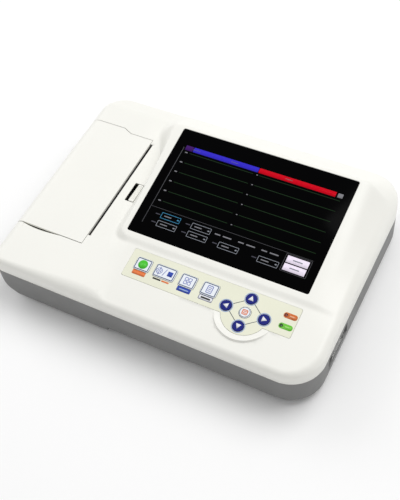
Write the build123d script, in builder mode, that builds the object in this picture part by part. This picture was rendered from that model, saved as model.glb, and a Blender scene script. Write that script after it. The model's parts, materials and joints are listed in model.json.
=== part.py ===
"""Tabletop ECG recorder: inclined display, keypad and a side-feeding thermal printer.

Origin at the middle of the footprint, on the surface it stands on. +X right, +Y back, +Z up, in mm.
"""

from build123d import *
from math import cos, pi, radians, sin, sqrt, tan
import os

# ---------------------------------------------------------------- driving dimensions
WIDTH = 307.8                  # casing, left to right
DEPTH = 225.7                  # casing, front to back
LEFT = -WIDTH / 2
RIGHT = WIDTH / 2
FRONT = -DEPTH / 2
BACK = DEPTH / 2
SEAM_Z = 35.0                  # joint between the white top and the grey base
WALL = 2.5
BASE_Z = 5.5                   # underside of the base
BELLY_Z = 1.5                  # underside of the deeper part below the printer
BELLY_END = -36.4              # right end of that deeper part
HULL_R = 40.0                  # big round along the lower left edge
CORNERS = (14.0, 30.0, 38.0, 22.0)     # corner rounds seen from above, from the front left
SHOULDER_R = 12.0              # round between printer deck and left wall
EDGE_R = 5.0                   # round along the other lower edges
REACH = 130.0                  # side sections run this far past the middle, front and back

DECK_Z = 55.35                 # printer deck at y = 0
DECK_TILT = 2.2
SCREEN_TILT = 9.9
KEYPAD_TILT = 8.0
RIDGE_Y = 72.35                # top edge of the casing behind the screen
DECK_BACK_Y = 88.4             # back edge of the printer deck
RIGHT_EDGE_Z = 55.0            # top of the right wall
LIP_Z = 48.1                   # where the back slopes meet the back wall
FLANK = (-62.4, -53.4)         # the slope between printer deck and screen, from x to x
RIGHT_RIM = 129.6              # right side of the screen rim
RIM_FRONT_Y = -47.15           # front edge of the screen rim
KEYPAD_BACK_Y = -53.15         # back edge of the keypad face

GLASS = (169.6, 113.4, 1.8)
GLASS_AT = (-48.4, -42.15, 60.0)      # front left corner of the glass, on its top face
LEDGE = (1.85, 4.0)                   # the ledge under the glass, depths below its top face
LEDGE_SIZE = (178.0, 121.0)
VIEW = (158.6, 95.0)                  # window through the ledge
LCD = (165.0, 104.0, 5.4)
BRACKET = (176.0, 117.0, 1.2)
KEYPAD_AT = (-48.4, -54.15, 56.6)     # back left reference point of the keypad face

DOOR_Y = (-67.2, 62.0)         # front edge, and back edge of the right half
DOOR_JOG_Y = 66.0              # back edge of the left half
DOOR_JOG_X = (-114.4, -105.4)
DOOR_X = -81.5                 # right edge of the door
DOOR_WALL = 2.2
DOOR_GAP = 0.5
HINGE = (-151.7, 40.5)         # x, z of the door's hinge line
HINGE_R = 2.2
PIN_R = 1.0
RUN = 0.05                     # running clearance on a radius
SLOT = (2.6, 115.0)            # paper slot

PAPER_W = 110.0
ROLL_R = 19.5
CORE_R = 8.0
SPINDLE_R = 6.2
ROLL_AT = (-117.0, 27.4)       # x, z of the roll's axis
TROUGH_R = 20.6                # inside of the paper tray
TRAY_Y = 60.0                  # inside of its end walls
TRAY_WALL = 1.6
PLATEN_R = 6.0
PLATEN_AT = (-87.0, 44.4)      # x, z of the platen roller's axis
SHAFT_R = 2.5
BUSH_R = 4.0
EAR_Y = (58.4, 61.0)           # the door's brackets for the platen shaft
HEAD_Z = (38.6, 50.0)
MODULE = 0.65
PLATEN_TEETH = 16
IDLER_TEETH = 24
PINION_TEETH = 12
MESH_ANGLE = -22.5             # direction from idler to pinion, degrees
GEAR_Y = (-65.4, -62.2)
GEAR_PLATE = (41.0, 25.0)
GEAR_PLATE_AT = (-84.5, 25.0)
MOTOR = (10.0, 17.5)           # radius, length

LATCH_X = -64.3                # middle of the release button at rest
LATCH = (5.0, 20.4)
LATCH_TRAVEL = 3.4
LATCH_PLATE_Z = (49.9, 51.2)   # the plate under the button, which keeps it in
LATCH_TAB = (3.2, 5.2)         # the tab that its spring pushes, right of its middle
RIBS = (4, 1.2, 0.5)           # grip grooves in its top: count, pitch, width
KEY_GAP = 0.35
KEY_PROUD = 0.7
OVERLAY_T = 0.8
OVERLAY = (154.9, 27.1)
OVERLAY_UV = (93.45, -14.75)
OVERLAY_CORNER_R = 1.5
PAD_BULGE_R = 20.0
PAD_LIP_R = 25.6               # outside of the crescent lip in front of the arrow keys
PAD_LIP_SHIFT = 3.2            # how far back the circle that hollows it lies
KEY_H = 12.0
ROW_V = -13.4                  # the key row, measured down the keypad face
PAD_UV = (128.7, -21.1)        # middle of the arrow keys
ARROWS = (16.9, 13.0)
ROW_KEYS = {"key_power": (29.8, 14.4), "key_start_stop": (51.0, 19.6),
            "key_mode": (72.8, 14.4), "key_print": (93.2, 14.4)}
PAD_KEYS = {"key_up": (0, 1, 4.7), "key_down": (0, -1, 4.7), "key_left": (-1, 0, 4.7),
            "key_right": (1, 0, 4.7), "key_menu": (0, 0, 5.0)}
LEDS = {"led_mains": (160.2, -10.5), "led_battery": (160.0, -20.3)}
LED_R = 1.4
KEYBOARD_DEPTH = 6.4           # top of the key board below the keypad face

FEET = [(-118, -88, BELLY_Z), (-118, 88, BELLY_Z), (112, -82, BASE_Z), (118, 84, BASE_Z)]
FOOT_R = 8.0
SCREWS = [(-130, -98), (-130, 97), (-20, -103), (108, -98), (140, 78), (-46, 103)]
SCREW_R = 1.5
SCREW_HEAD = (2.9, 2.2)        # radius, height
SCREW_HEAD_Z = 11.8            # underside of the heads, deep in their holes
BATTERY_BAY = (66.0, 140.0, -76.0, -22.0, 33.0)    # x, x, y, y and top, outside its walls
BATTERY_LID = (62.0, 44.0)
BATTERY_ROOM = (56.0, 40.0)
BATTERY = (54.5, 38.5)
LID_SCREW_Y = 20.2
BOARD = (-56.0, 60.0, -86.0, 84.0, 24.0)           # x, x, y, y and underside
BOARD_T = 1.6
SPEAKER_AT = (20, -20)
SPEAKER_R = 14.0
POWER = (70.0, 140.0, -12.0, 66.0, 14.0)
PORT_BAY = (-30.0, 56.0, 8.5)                      # recess for the rear ports: x, x, depth
INLET_X = -8.0
USB_X = 20.0
STUD_X = 42.0
STUD_SHANK_R = 2.5
INLET_Z = 20.5                                     # height of all rear ports
INLET_BODY = (27.0, 19.6)
INLET_MOUTH = (24.2, 16.4)
USB_SHELL = (13.2, 6.2)
CONNECTOR_AT = (RIGHT, -56.0, 23.6)                # middle of the lead connector, on the right wall
CONNECTOR_DEPTH = 4.0                              # the recess it sits in
CONNECTOR_EARS = (-16.66, 16.66)                   # its two threaded standoffs, along the wall
STANDOFF_R = 1.5
STANDOFF_BORE_R = 1.2
CONNECTOR_PLATE = (39.2, 12.5)

os.makedirs("parts", exist_ok=True)


def save(part, name):
    """Label a finished piece and write it."""
    part.label = name
    export_step(part, f"parts/{name}.step")


def tilted(at, tilt, up):
    """A plane leaning back by tilt degrees through a point, moved out along its normal."""
    lean = radians(tilt)
    plane = Plane(origin=at, x_dir=(1, 0, 0), z_dir=(0, -sin(lean), cos(lean)))
    return plane.offset(up)


def glass_plane(up=0.0):
    return tilted(GLASS_AT, SCREEN_TILT, up)


def keypad_plane(up=0.0):
    return tilted(KEYPAD_AT, KEYPAD_TILT, up)


def side_plane(y):
    """The upright plane at y, seen from the front; extruding from it goes towards the front."""
    return Plane.XZ.offset(-y)


def deck_z(y):
    return DECK_Z + y * tan(radians(DECK_TILT))


def screen_z(y):
    return GLASS_AT[2] + (y - GLASS_AT[1]) * tan(radians(SCREEN_TILT))


def keypad_z(y):
    return KEYPAD_AT[2] + (y - KEYPAD_AT[1]) * tan(radians(KEYPAD_TILT))


def box(x0, x1, y0, y1, z0, z1):
    """A block between two corners, outside any builder."""
    size = (x1 - x0, y1 - y0, z1 - z0)
    middle = ((x0 + x1) / 2, (y0 + y1) / 2, (z0 + z1) / 2)
    return Pos(*middle) * Box(*size, mode=Mode.PRIVATE)


# ---------------------------------------------------------------- casing outline and top surface
def outline(inset=0.0):
    """The casing seen from above, with a different round at each corner."""
    with BuildSketch() as sketch:
        with BuildLine():
            front = Line((LEFT + CORNERS[0], FRONT), (RIGHT - CORNERS[1], FRONT))
            right_front = TangentArc(front @ 1, (RIGHT, FRONT + CORNERS[1]), tangent=(1, 0))
            right = Line(right_front @ 1, (RIGHT, BACK - CORNERS[2]))
            right_back = TangentArc(right @ 1, (RIGHT - CORNERS[2], BACK), tangent=(0, 1))
            back = Line(right_back @ 1, (LEFT + CORNERS[3], BACK))
            left_back = TangentArc(back @ 1, (LEFT, BACK - CORNERS[3]), tangent=(-1, 0))
            left = Line(left_back @ 1, (LEFT, FRONT + CORNERS[0]))
            TangentArc(left @ 1, front @ 0, tangent=(0, -1))
        make_face()
        if inset:
            offset(amount=-inset)
    return sketch.sketch


def section(line, drop):
    """Side section of the casing's top, closed well below it."""
    low = 20.0
    with BuildSketch() as sketch:
        with BuildLine():
            Polyline((-REACH, low), *[(y, z - drop) for y, z in line], (REACH, low), close=True)
        make_face()
    return sketch.sketch


def back_slope(y, z):
    """Height at the far reach of a slope from (y, z) that meets the back wall at the lip."""
    return LIP_Z - (z - LIP_Z) / (BACK - y) * (REACH - BACK)


def printer_line():
    z = deck_z(DECK_BACK_Y)
    return [(-REACH, deck_z(-REACH)), (KEYPAD_BACK_Y, deck_z(KEYPAD_BACK_Y)),
            (RIM_FRONT_Y, deck_z(RIM_FRONT_Y)), (DECK_BACK_Y, z), (REACH, back_slope(DECK_BACK_Y, z))]


def screen_line():
    z = screen_z(RIDGE_Y)
    return [(-REACH, keypad_z(-REACH)), (KEYPAD_BACK_Y, keypad_z(KEYPAD_BACK_Y)),
            (RIM_FRONT_Y, screen_z(RIM_FRONT_Y)), (RIDGE_Y, z), (REACH, back_slope(RIDGE_Y, z))]


def right_line():
    z = RIGHT_EDGE_Z
    return [(-REACH, keypad_z(-REACH)), (-72.0, keypad_z(-72.0)), (-60.0, z - 0.2),
            (DECK_BACK_Y, z), (REACH, back_slope(DECK_BACK_Y, z))]


def casing_block(inset):
    """The block under the casing's top surface; inset gives the inside of the wall."""
    deck_only = [point for point in printer_line() if abs(point[0]) > 60]
    with BuildPart() as block:
        with BuildSketch(Plane.YZ.offset(LEFT + inset)):
            add(section(deck_only, inset))
        extrude(amount=FLANK[0] - LEFT - inset)
        fillet(block.edges().group_by(Axis.X)[0].sort_by(Axis.Z)[-2:], SHOULDER_R - inset)
        with BuildSketch(Plane.YZ.offset(FLANK[0])):
            add(section(printer_line(), inset))
        with BuildSketch(Plane.YZ.offset(FLANK[1])):
            add(section(screen_line(), inset))
        loft(ruled=True)
        with BuildSketch(Plane.YZ.offset(FLANK[1])):
            add(section(screen_line(), inset))
        extrude(amount=RIGHT_RIM - FLANK[1])
        with BuildSketch(Plane.YZ.offset(RIGHT_RIM)):
            add(section(screen_line(), inset))
        with BuildSketch(Plane.YZ.offset(RIGHT)):
            add(section(right_line(), inset))
        loft(ruled=True)
        with BuildSketch(Plane.XY.offset(SEAM_Z - 2 * inset)):
            add(outline(inset))
        extrude(amount=60, mode=Mode.INTERSECT)
    return block.part


def door_plan(gap):
    """The door seen from above; a positive gap gives the opening it lies in."""
    with BuildSketch() as sketch:
        with BuildLine():
            front = DOOR_Y[0] - gap
            Polyline((LEFT - 5, front), (DOOR_X + gap * 0.6, front), (DOOR_X + gap * 0.6, DOOR_Y[1] + gap),
                     (DOOR_JOG_X[1], DOOR_Y[1] + gap), (DOOR_JOG_X[0], DOOR_JOG_Y + gap),
                     (LEFT - 5, DOOR_JOG_Y + gap), close=True)
        make_face()
    return sketch.sketch


def overlay_plan(grow):
    """The keypad overlay on the keypad face: a strip with a round bulge at the arrow keys."""
    with BuildSketch() as sketch:
        with Locations(OVERLAY_UV):
            RectangleRounded(OVERLAY[0] + 2 * grow, OVERLAY[1] + 2 * grow, OVERLAY_CORNER_R)
        with Locations(PAD_UV):
            Circle(PAD_BULGE_R + grow)
    return sketch.sketch


def key_plan(name, grow):
    """The outline of one key on the keypad face."""
    with BuildSketch() as sketch:
        if name in ROW_KEYS:
            u, width = ROW_KEYS[name]
            with Locations((u, ROW_V)):
                RectangleRounded(width + 2 * grow, KEY_H + 2 * grow, 1.8 + max(grow, 0))
        else:
            across, down, radius = PAD_KEYS[name]
            with Locations((PAD_UV[0] + across * ARROWS[0], PAD_UV[1] + down * ARROWS[1])):
                Circle(radius + grow)
    return sketch.sketch


KEYS = list(ROW_KEYS) + list(PAD_KEYS)


def key_centre(name):
    if name in ROW_KEYS:
        return (ROW_KEYS[name][0], ROW_V)
    across, down, _ = PAD_KEYS[name]
    return (PAD_UV[0] + across * ARROWS[0], PAD_UV[1] + down * ARROWS[1])


def connector_plane(out=0.0):
    """The lead connector's face: local x runs along the casing's side, local y is up."""
    return Plane(origin=CONNECTOR_AT, x_dir=(0, 1, 0), z_dir=(1, 0, 0)).offset(out)


def gear(teeth, bore, centre, first, label):
    """A straight spur gear lying in the upright gear plane, one tooth pointing along first."""
    pitch = MODULE * teeth / 2
    root, tip = pitch - 1.2 * MODULE, pitch + 0.8 * MODULE
    half = 0.17 * pi * MODULE
    slant = tan(radians(20))
    low, high = half + (pitch - root) * slant, half - (tip - pitch) * slant
    with BuildPart() as wheel:
        with BuildSketch(side_plane(GEAR_Y[1])):
            with Locations(centre):
                Circle(root)
                with PolarLocations(0, teeth, start_angle=first):
                    Polygon((root - 0.4, -low), (tip, -high), (tip, high), (root - 0.4, low), align=None)
                Circle(bore, mode=Mode.SUBTRACT)
        extrude(amount=GEAR_Y[1] - GEAR_Y[0])
    save(wheel.part, label)


# ---------------------------------------------------------------- upper shell
INSIDE = casing_block(WALL)
OUTSIDE = casing_block(0.0)


def top_posts():
    """Screw posts and hinge blocks inside the upper shell."""
    with BuildPart() as posts:
        with BuildSketch(Plane.XY.offset(SEAM_Z)):
            with Locations(SCREWS):
                Circle(4.0)
        extrude(amount=60)
        for y0, y1 in ((DOOR_Y[0] - 7, DOOR_Y[0] - DOOR_GAP), (DOOR_JOG_Y + DOOR_GAP, DOOR_JOG_Y + 7)):
            add(box(LEFT, HINGE[0] + 3.5, y0, y1, HINGE[1] - 3.4, HINGE[1] + 3.4))
        add(OUTSIDE, mode=Mode.INTERSECT)
        with BuildSketch(Plane.XY.offset(SEAM_Z)):
            with Locations(SCREWS):
                Circle(SCREW_R)
        extrude(amount=9, mode=Mode.SUBTRACT)
    return posts.part


with BuildPart() as upper_shell:
    add(OUTSIDE)
    add(INSIDE, mode=Mode.SUBTRACT)
    # ledge that carries the glass
    with BuildSketch(glass_plane(-LEDGE[1])):
        with Locations((GLASS[0] / 2, GLASS[1] / 2)):
            Rectangle(*LEDGE_SIZE)
    extrude(amount=LEDGE[1] - LEDGE[0])
    # rim of the keypad bay under the membrane
    with BuildSketch(keypad_plane(-3.2)):
        add(overlay_plan(2.0))
    extrude(amount=3.2 - OVERLAY_T)
    # crescent lip round the arrow keys
    with BuildSketch(keypad_plane(-0.5)):
        with Locations(PAD_UV):
            Circle(PAD_LIP_R)
        with Locations((PAD_UV[0], PAD_UV[1] + PAD_LIP_SHIFT)):
            Circle(PAD_LIP_R - 0.2, mode=Mode.SUBTRACT)
    extrude(amount=1.9)
    add(top_posts())
    # glass pocket and the window under it
    with BuildSketch(glass_plane()):
        with Locations((GLASS[0] / 2, GLASS[1] / 2)):
            RectangleRounded(GLASS[0] + 0.4, GLASS[1] + 0.4, 1.6)
    extrude(amount=-LEDGE[0], mode=Mode.SUBTRACT)
    with BuildSketch(glass_plane()):
        with Locations((GLASS[0] / 2, GLASS[1] / 2)):
            Rectangle(*VIEW)
    extrude(amount=-12, mode=Mode.SUBTRACT)
    # membrane bay, key and lamp holes
    with BuildSketch(keypad_plane(-OVERLAY_T)):
        add(overlay_plan(0.15))
    extrude(amount=3, mode=Mode.SUBTRACT)
    for name in KEYS:
        with BuildSketch(keypad_plane()):
            add(key_plan(name, KEY_GAP))
        extrude(amount=-8, mode=Mode.SUBTRACT)
    with BuildSketch(keypad_plane()):
        with Locations(*LEDS.values()):
            Circle(LED_R + 0.15)
    extrude(amount=-8, mode=Mode.SUBTRACT)
    # door opening, paper slot and the release button's opening
    with BuildSketch(Plane.XY.offset(HINGE[1] - HINGE_R - 0.4)):
        add(door_plan(DOOR_GAP))
    extrude(amount=60, mode=Mode.SUBTRACT)
    with BuildSketch(Plane.XY.offset(44)):
        with Locations((DOOR_X + SLOT[0] / 2, 0)):
            Rectangle(SLOT[0] + 1, SLOT[1])
        with Locations((LATCH_X - LATCH_TRAVEL / 2, 0)):
            Rectangle(LATCH[0] + LATCH_TRAVEL + 0.8, LATCH[1] + 0.8)
    extrude(amount=30, mode=Mode.SUBTRACT)
    # hinge pin holes
    with BuildSketch(side_plane(DOOR_JOG_Y + 6)):
        with Locations(HINGE):
            Circle(PIN_R)
    extrude(amount=DOOR_JOG_Y - DOOR_Y[0] + 12, mode=Mode.SUBTRACT)
save(upper_shell.part, "upper_shell")


# ---------------------------------------------------------------- lower shell
def base_block(inset):
    """The block of the grey base; inset gives the inside of its wall."""
    with BuildPart() as block:
        with BuildSketch(Plane.XY.offset(BASE_Z + inset)):
            add(outline(inset))
        extrude(amount=SEAM_Z - BASE_Z - inset + 2 * inset)
        fillet(block.edges().group_by(Axis.Z)[0], EDGE_R - inset)
    with BuildPart() as belly:
        with BuildSketch(Plane.XY.offset(BELLY_Z + inset)):
            add(outline(inset))
            with Locations((BELLY_END + 200 - inset, 0)):
                Rectangle(400, 300, mode=Mode.SUBTRACT)
        extrude(amount=SEAM_Z - BELLY_Z - inset + 2 * inset)
        fillet(belly.edges().group_by(Axis.Z)[0], EDGE_R - inset)
    with BuildPart() as hull:
        radius = HULL_R - inset
        bottom = BELLY_Z + inset
        with BuildSketch(side_plane(REACH)):
            with BuildLine():
                reach = sqrt(radius ** 2 - (bottom + radius - SEAM_Z) ** 2)
                round_start = (LEFT + inset, SEAM_Z)
                round_end = (LEFT + inset + reach, bottom)
                RadiusArc(round_start, round_end, -radius)
                Polyline(round_end, (RIGHT + 5, bottom), (RIGHT + 5, SEAM_Z + 9),
                         (LEFT + inset, SEAM_Z + 9), round_start)
            make_face()
        extrude(amount=2 * REACH)
    return (block.part + belly.part) & hull.part


BASE_OUTSIDE = base_block(0.0)
BASE_INSIDE = base_block(WALL)
BAY_Y = BACK - PORT_BAY[2]


def base_posts():
    """Screw posts, board posts and the walls round the battery bay and the rear port recess."""
    with BuildPart() as posts:
        with BuildSketch(Plane.XY):
            with Locations(SCREWS):
                Circle(4.6)
        extrude(amount=SEAM_Z - 0.3)
        with BuildSketch(Plane.XY):
            with Locations(board_corners(BOARD)):
                Circle(3.0)
        extrude(amount=BOARD[4] - 0.1)
        with BuildSketch(Plane.XY):
            with Locations(board_corners(POWER)):
                Circle(3.0)
        extrude(amount=POWER[4] - 0.1)
        x0, x1, y0, y1, top = BATTERY_BAY
        add(box(x0, x1, y0, y1, BASE_Z, top))
        add(box(PORT_BAY[0] - 2, PORT_BAY[1] + 2, BAY_Y - WALL, BACK, BASE_Z, SEAM_Z))
        with BuildSketch(connector_plane(-CONNECTOR_DEPTH - WALL)):
            Rectangle(CONNECTOR_PLATE[0] + 6, 2 * SEAM_Z)
        extrude(amount=CONNECTOR_DEPTH + WALL)
        add(BASE_OUTSIDE, mode=Mode.INTERSECT)
    return posts.part


def board_corners(board):
    x0, x1, y0, y1, _ = board
    edge = 4.0
    return [(x, y) for x in (x0 + edge, x1 - edge) for y in (y0 + edge, y1 - edge)]


with BuildPart() as lower_shell:
    add(BASE_OUTSIDE)
    add(BASE_INSIDE, mode=Mode.SUBTRACT)
    add(base_posts())
    # battery bay, open below, with a shoulder for its lid
    bay_x = (BATTERY_BAY[0] + BATTERY_BAY[1]) / 2
    bay_y = (BATTERY_BAY[2] + BATTERY_BAY[3]) / 2
    with BuildSketch(Plane.XY):
        with Locations((bay_x, bay_y)):
            Rectangle(BATTERY_LID[0] + 0.6, BATTERY_LID[1] + 0.6)
    extrude(amount=BASE_Z + 1.8, mode=Mode.SUBTRACT)
    with BuildSketch(Plane.XY):
        with Locations((bay_x, bay_y)):
            Rectangle(*BATTERY_ROOM)
    extrude(amount=BATTERY_BAY[4] - 2, mode=Mode.SUBTRACT)
    # rear port recess and its holes
    add(box(PORT_BAY[0], PORT_BAY[1], BAY_Y, BACK + 5, BASE_Z + 2.5, SEAM_Z - 2), mode=Mode.SUBTRACT)
    with BuildSketch(side_plane(BAY_Y + 1)):
        with Locations((INLET_X, INLET_Z)):
            Rectangle(INLET_BODY[0] + 0.4, INLET_BODY[1] + 0.4)
        with Locations((USB_X, INLET_Z)):
            Rectangle(USB_SHELL[0] + 0.4, USB_SHELL[1] + 0.4)
        with Locations((STUD_X, INLET_Z)):
            Circle(STUD_SHANK_R + RUN)
    extrude(amount=WALL + 2, mode=Mode.SUBTRACT)
    # lead connector recess through the side wall
    with BuildSketch(connector_plane(-CONNECTOR_DEPTH)):
        RectangleRounded(CONNECTOR_PLATE[0] + 1, CONNECTOR_PLATE[1] + 1, 1.0)
    extrude(amount=8, mode=Mode.SUBTRACT)
    with BuildSketch(connector_plane(-CONNECTOR_DEPTH)):
        Rectangle(21.4, 6.2)
        for u in CONNECTOR_EARS:
            with Locations((u, 0)):
                Circle(STANDOFF_R)
    extrude(amount=-10, mode=Mode.SUBTRACT)
    # screw holes from below
    with BuildSketch(Plane.XY):
        with Locations(SCREWS):
            Circle(SCREW_R + 0.25)
    extrude(amount=SEAM_Z, mode=Mode.SUBTRACT)
    with BuildSketch(Plane.XY):
        with Locations(SCREWS):
            Circle(SCREW_HEAD[0] + 0.3)
    extrude(amount=SCREW_HEAD_Z + SCREW_HEAD[1], mode=Mode.SUBTRACT)
    # sockets for the feet, and a grille under the loudspeaker
    for x, y, low in FEET:
        with BuildSketch(Plane.XY):
            with Locations((x, y)):
                Circle(FOOT_R + 0.05)
        extrude(amount=low + 1.0, mode=Mode.SUBTRACT)
    with BuildSketch(Plane.XY):
        with GridLocations(5, 5, 5, 5):
            with Locations(SPEAKER_AT):
                Circle(1.1)
    extrude(amount=BASE_Z + 4, mode=Mode.SUBTRACT)
save(lower_shell.part, "lower_shell")


# ---------------------------------------------------------------- bottom fittings
with BuildPart() as rubber_feet:
    for x, y, low in FEET:
        with BuildSketch(Plane.XY):
            with Locations((x, y)):
                Circle(FOOT_R)
        extrude(amount=low + 0.95)
    chamfer(rubber_feet.edges().group_by(Axis.Z)[0], 0.8)
save(rubber_feet.part, "rubber_feet")

with BuildPart() as case_screws:
    for x, y in SCREWS:
        with BuildSketch(Plane.XY.offset(SCREW_HEAD_Z + SCREW_HEAD[1])):
            with Locations((x, y)):
                Circle(SCREW_R)
        extrude(amount=SEAM_Z + 8 - SCREW_HEAD_Z - SCREW_HEAD[1])
        with BuildSketch(Plane.XY.offset(SCREW_HEAD_Z)):
            with Locations((x, y)):
                Circle(SCREW_HEAD[0])
        extrude(amount=SCREW_HEAD[1])
        with BuildSketch(Plane.XY.offset(SCREW_HEAD_Z)):
            with Locations((x, y)):
                Rectangle(3.4, 0.7)
                Rectangle(0.7, 3.4)
        extrude(amount=1.2, mode=Mode.SUBTRACT)
save(case_screws.part, "case_screws")

with BuildPart() as battery_cover:
    with BuildSketch(Plane.XY.offset(BASE_Z)):
        with Locations((bay_x, bay_y)):
            RectangleRounded(*BATTERY_LID, 1.0)
    extrude(amount=1.75)
    with BuildSketch(Plane.XY.offset(BASE_Z)):
        with Locations((bay_x, bay_y + 16)):
            with GridLocations(0, 2.4, 1, 4):
                Rectangle(16, 1.1)
    extrude(amount=0.7, mode=Mode.SUBTRACT)
    with BuildSketch(Plane.XY.offset(BASE_Z)):
        with Locations((bay_x, bay_y - LID_SCREW_Y)):
            Circle(1.3)
    extrude(amount=3, mode=Mode.SUBTRACT)
save(battery_cover.part, "battery_cover")

with BuildPart() as battery_cover_screw:
    with BuildSketch(Plane.XY.offset(BASE_Z - 1.2)):
        with Locations((bay_x, bay_y - LID_SCREW_Y)):
            Circle(2.4)
    extrude(amount=1.15)
    with BuildSketch(Plane.XY.offset(BASE_Z - 0.1)):
        with Locations((bay_x, bay_y - LID_SCREW_Y)):
            Circle(1.2)
    extrude(amount=1.8)
save(battery_cover_screw.part, "battery_cover_screw")

with BuildPart() as battery_pack:
    with BuildSketch(Plane.XY.offset(BASE_Z + 2.2)):
        with Locations((bay_x, bay_y)):
            RectangleRounded(*BATTERY, 2)
    extrude(amount=BATTERY_BAY[4] - BASE_Z - 5.2)
    fillet(battery_pack.edges().group_by(Axis.Z)[-1], 1.5)
save(battery_pack.part, "battery_pack")


# ---------------------------------------------------------------- printer door and its hinge
def door_fittings():
    """The two ears that carry the platen, and the stiffening ribs, under the door's skin."""
    with BuildPart() as fittings:
        for y0, y1 in ((-EAR_Y[1], -EAR_Y[0]), EAR_Y):
            with BuildSketch(side_plane(y1)):
                with Locations(PLATEN_AT):
                    Circle(5.2)
                with Locations((PLATEN_AT[0] - 0.7, PLATEN_AT[1] + 8)):
                    Rectangle(9, 16)
            extrude(amount=y1 - y0)
        for y in (-40, -14, 14, 40):
            add(box(-134, -97, y - 0.8, y + 0.8, 49.0, 58))
        add(casing_block(DOOR_WALL / 2), mode=Mode.INTERSECT)
    return fittings.part


with BuildPart() as printer_door:
    with BuildSketch(Plane.XY.offset(HINGE[1])):
        add(door_plan(0.0))
    extrude(amount=40)
    add(OUTSIDE, mode=Mode.INTERSECT)
    add(casing_block(DOOR_WALL), mode=Mode.SUBTRACT)
    add(door_fittings())
    with BuildSketch(side_plane(DOOR_JOG_Y)):
        with Locations(HINGE):
            Circle(HINGE_R)
    extrude(amount=DOOR_JOG_Y - DOOR_Y[0])
    with BuildSketch(side_plane(DOOR_JOG_Y)):
        with Locations(HINGE):
            Circle(PIN_R + RUN)
    extrude(amount=DOOR_JOG_Y - DOOR_Y[0], mode=Mode.SUBTRACT)
    with BuildSketch(side_plane(EAR_Y[1])):
        with Locations(PLATEN_AT):
            Circle(BUSH_R)
    extrude(amount=2 * EAR_Y[1], mode=Mode.SUBTRACT)
save(printer_door.part, "printer_door")

with BuildPart() as door_hinge_pin:
    with BuildSketch(side_plane(DOOR_JOG_Y + 6)):
        with Locations(HINGE):
            Circle(PIN_R)
    extrude(amount=DOOR_JOG_Y - DOOR_Y[0] + 12)
save(door_hinge_pin.part, "door_hinge_pin")

with BuildPart() as platen_bearings:
    for y0, y1 in ((-EAR_Y[1], -EAR_Y[0]), EAR_Y):
        with BuildSketch(side_plane(y1)):
            with Locations(PLATEN_AT):
                Circle(BUSH_R)
                Circle(SHAFT_R + RUN, mode=Mode.SUBTRACT)
        extrude(amount=y1 - y0)
save(platen_bearings.part, "platen_bearings")

with BuildPart() as platen_shaft:
    with BuildSketch(side_plane(EAR_Y[1] + 0.6)):
        with Locations(PLATEN_AT):
            Circle(SHAFT_R)
    extrude(amount=EAR_Y[1] + 0.6 - GEAR_Y[0] + 0.4)
save(platen_shaft.part, "platen_shaft")

with BuildPart() as platen_roller:
    with BuildSketch(side_plane(PAPER_W / 2 + 1)):
        with Locations(PLATEN_AT):
            Circle(PLATEN_R)
            Circle(SHAFT_R, mode=Mode.SUBTRACT)
    extrude(amount=PAPER_W + 2)
    chamfer(platen_roller.edges().filter_by(GeomType.CIRCLE).sort_by(SortBy.RADIUS)[-2:], 0.4)
save(platen_roller.part, "platen_roller")


# ---------------------------------------------------------------- gear train and motor
PLATEN_PITCH = MODULE * PLATEN_TEETH / 2
IDLER_PITCH = MODULE * IDLER_TEETH / 2
PINION_PITCH = MODULE * PINION_TEETH / 2
IDLER_AT = (PLATEN_AT[0], PLATEN_AT[1] - PLATEN_PITCH - IDLER_PITCH)
REACH_OUT = IDLER_PITCH + PINION_PITCH
PINION_AT = (IDLER_AT[0] + REACH_OUT * cos(radians(MESH_ANGLE)),
             IDLER_AT[1] + REACH_OUT * sin(radians(MESH_ANGLE)))
IDLER_FIRST = 90 + 180 / IDLER_TEETH
PINION_FIRST = MESH_ANGLE + 180 + 180 / PINION_TEETH
AXLE_R = 1.5

gear(PLATEN_TEETH, SHAFT_R, PLATEN_AT, -90, "platen_gear")
gear(IDLER_TEETH, AXLE_R + RUN, IDLER_AT, IDLER_FIRST, "idler_gear")
gear(PINION_TEETH, 1.0, PINION_AT, PINION_FIRST, "motor_pinion")

with BuildPart() as idler_axle:
    with BuildSketch(side_plane(-TRAY_Y)):
        with Locations(IDLER_AT):
            Circle(AXLE_R)
    extrude(amount=-GEAR_Y[0] - TRAY_Y + 0.4)
    with BuildSketch(side_plane(GEAR_Y[0] - 0.4)):
        with Locations(IDLER_AT):
            Circle(2.4)
    extrude(amount=0.7)
save(idler_axle.part, "idler_axle")

with BuildPart() as motor_shaft:
    with BuildSketch(side_plane(-TRAY_Y + 4)):
        with Locations(PINION_AT):
            Circle(1.0)
    extrude(amount=-GEAR_Y[0] - TRAY_Y + 4)
save(motor_shaft.part, "motor_shaft")

with BuildPart() as stepper_motor:
    with BuildSketch(side_plane(-TRAY_Y + MOTOR[1])):
        with Locations(PINION_AT):
            Circle(MOTOR[0])
    extrude(amount=MOTOR[1])
    fillet(stepper_motor.edges().filter_by(GeomType.CIRCLE).group_by(Axis.Y)[-1], 1.0)
    with BuildSketch(side_plane(-TRAY_Y + 5)):
        with Locations(PINION_AT):
            Circle(1.0 + RUN)
    extrude(amount=5, mode=Mode.SUBTRACT)
save(stepper_motor.part, "stepper_motor")


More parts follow.
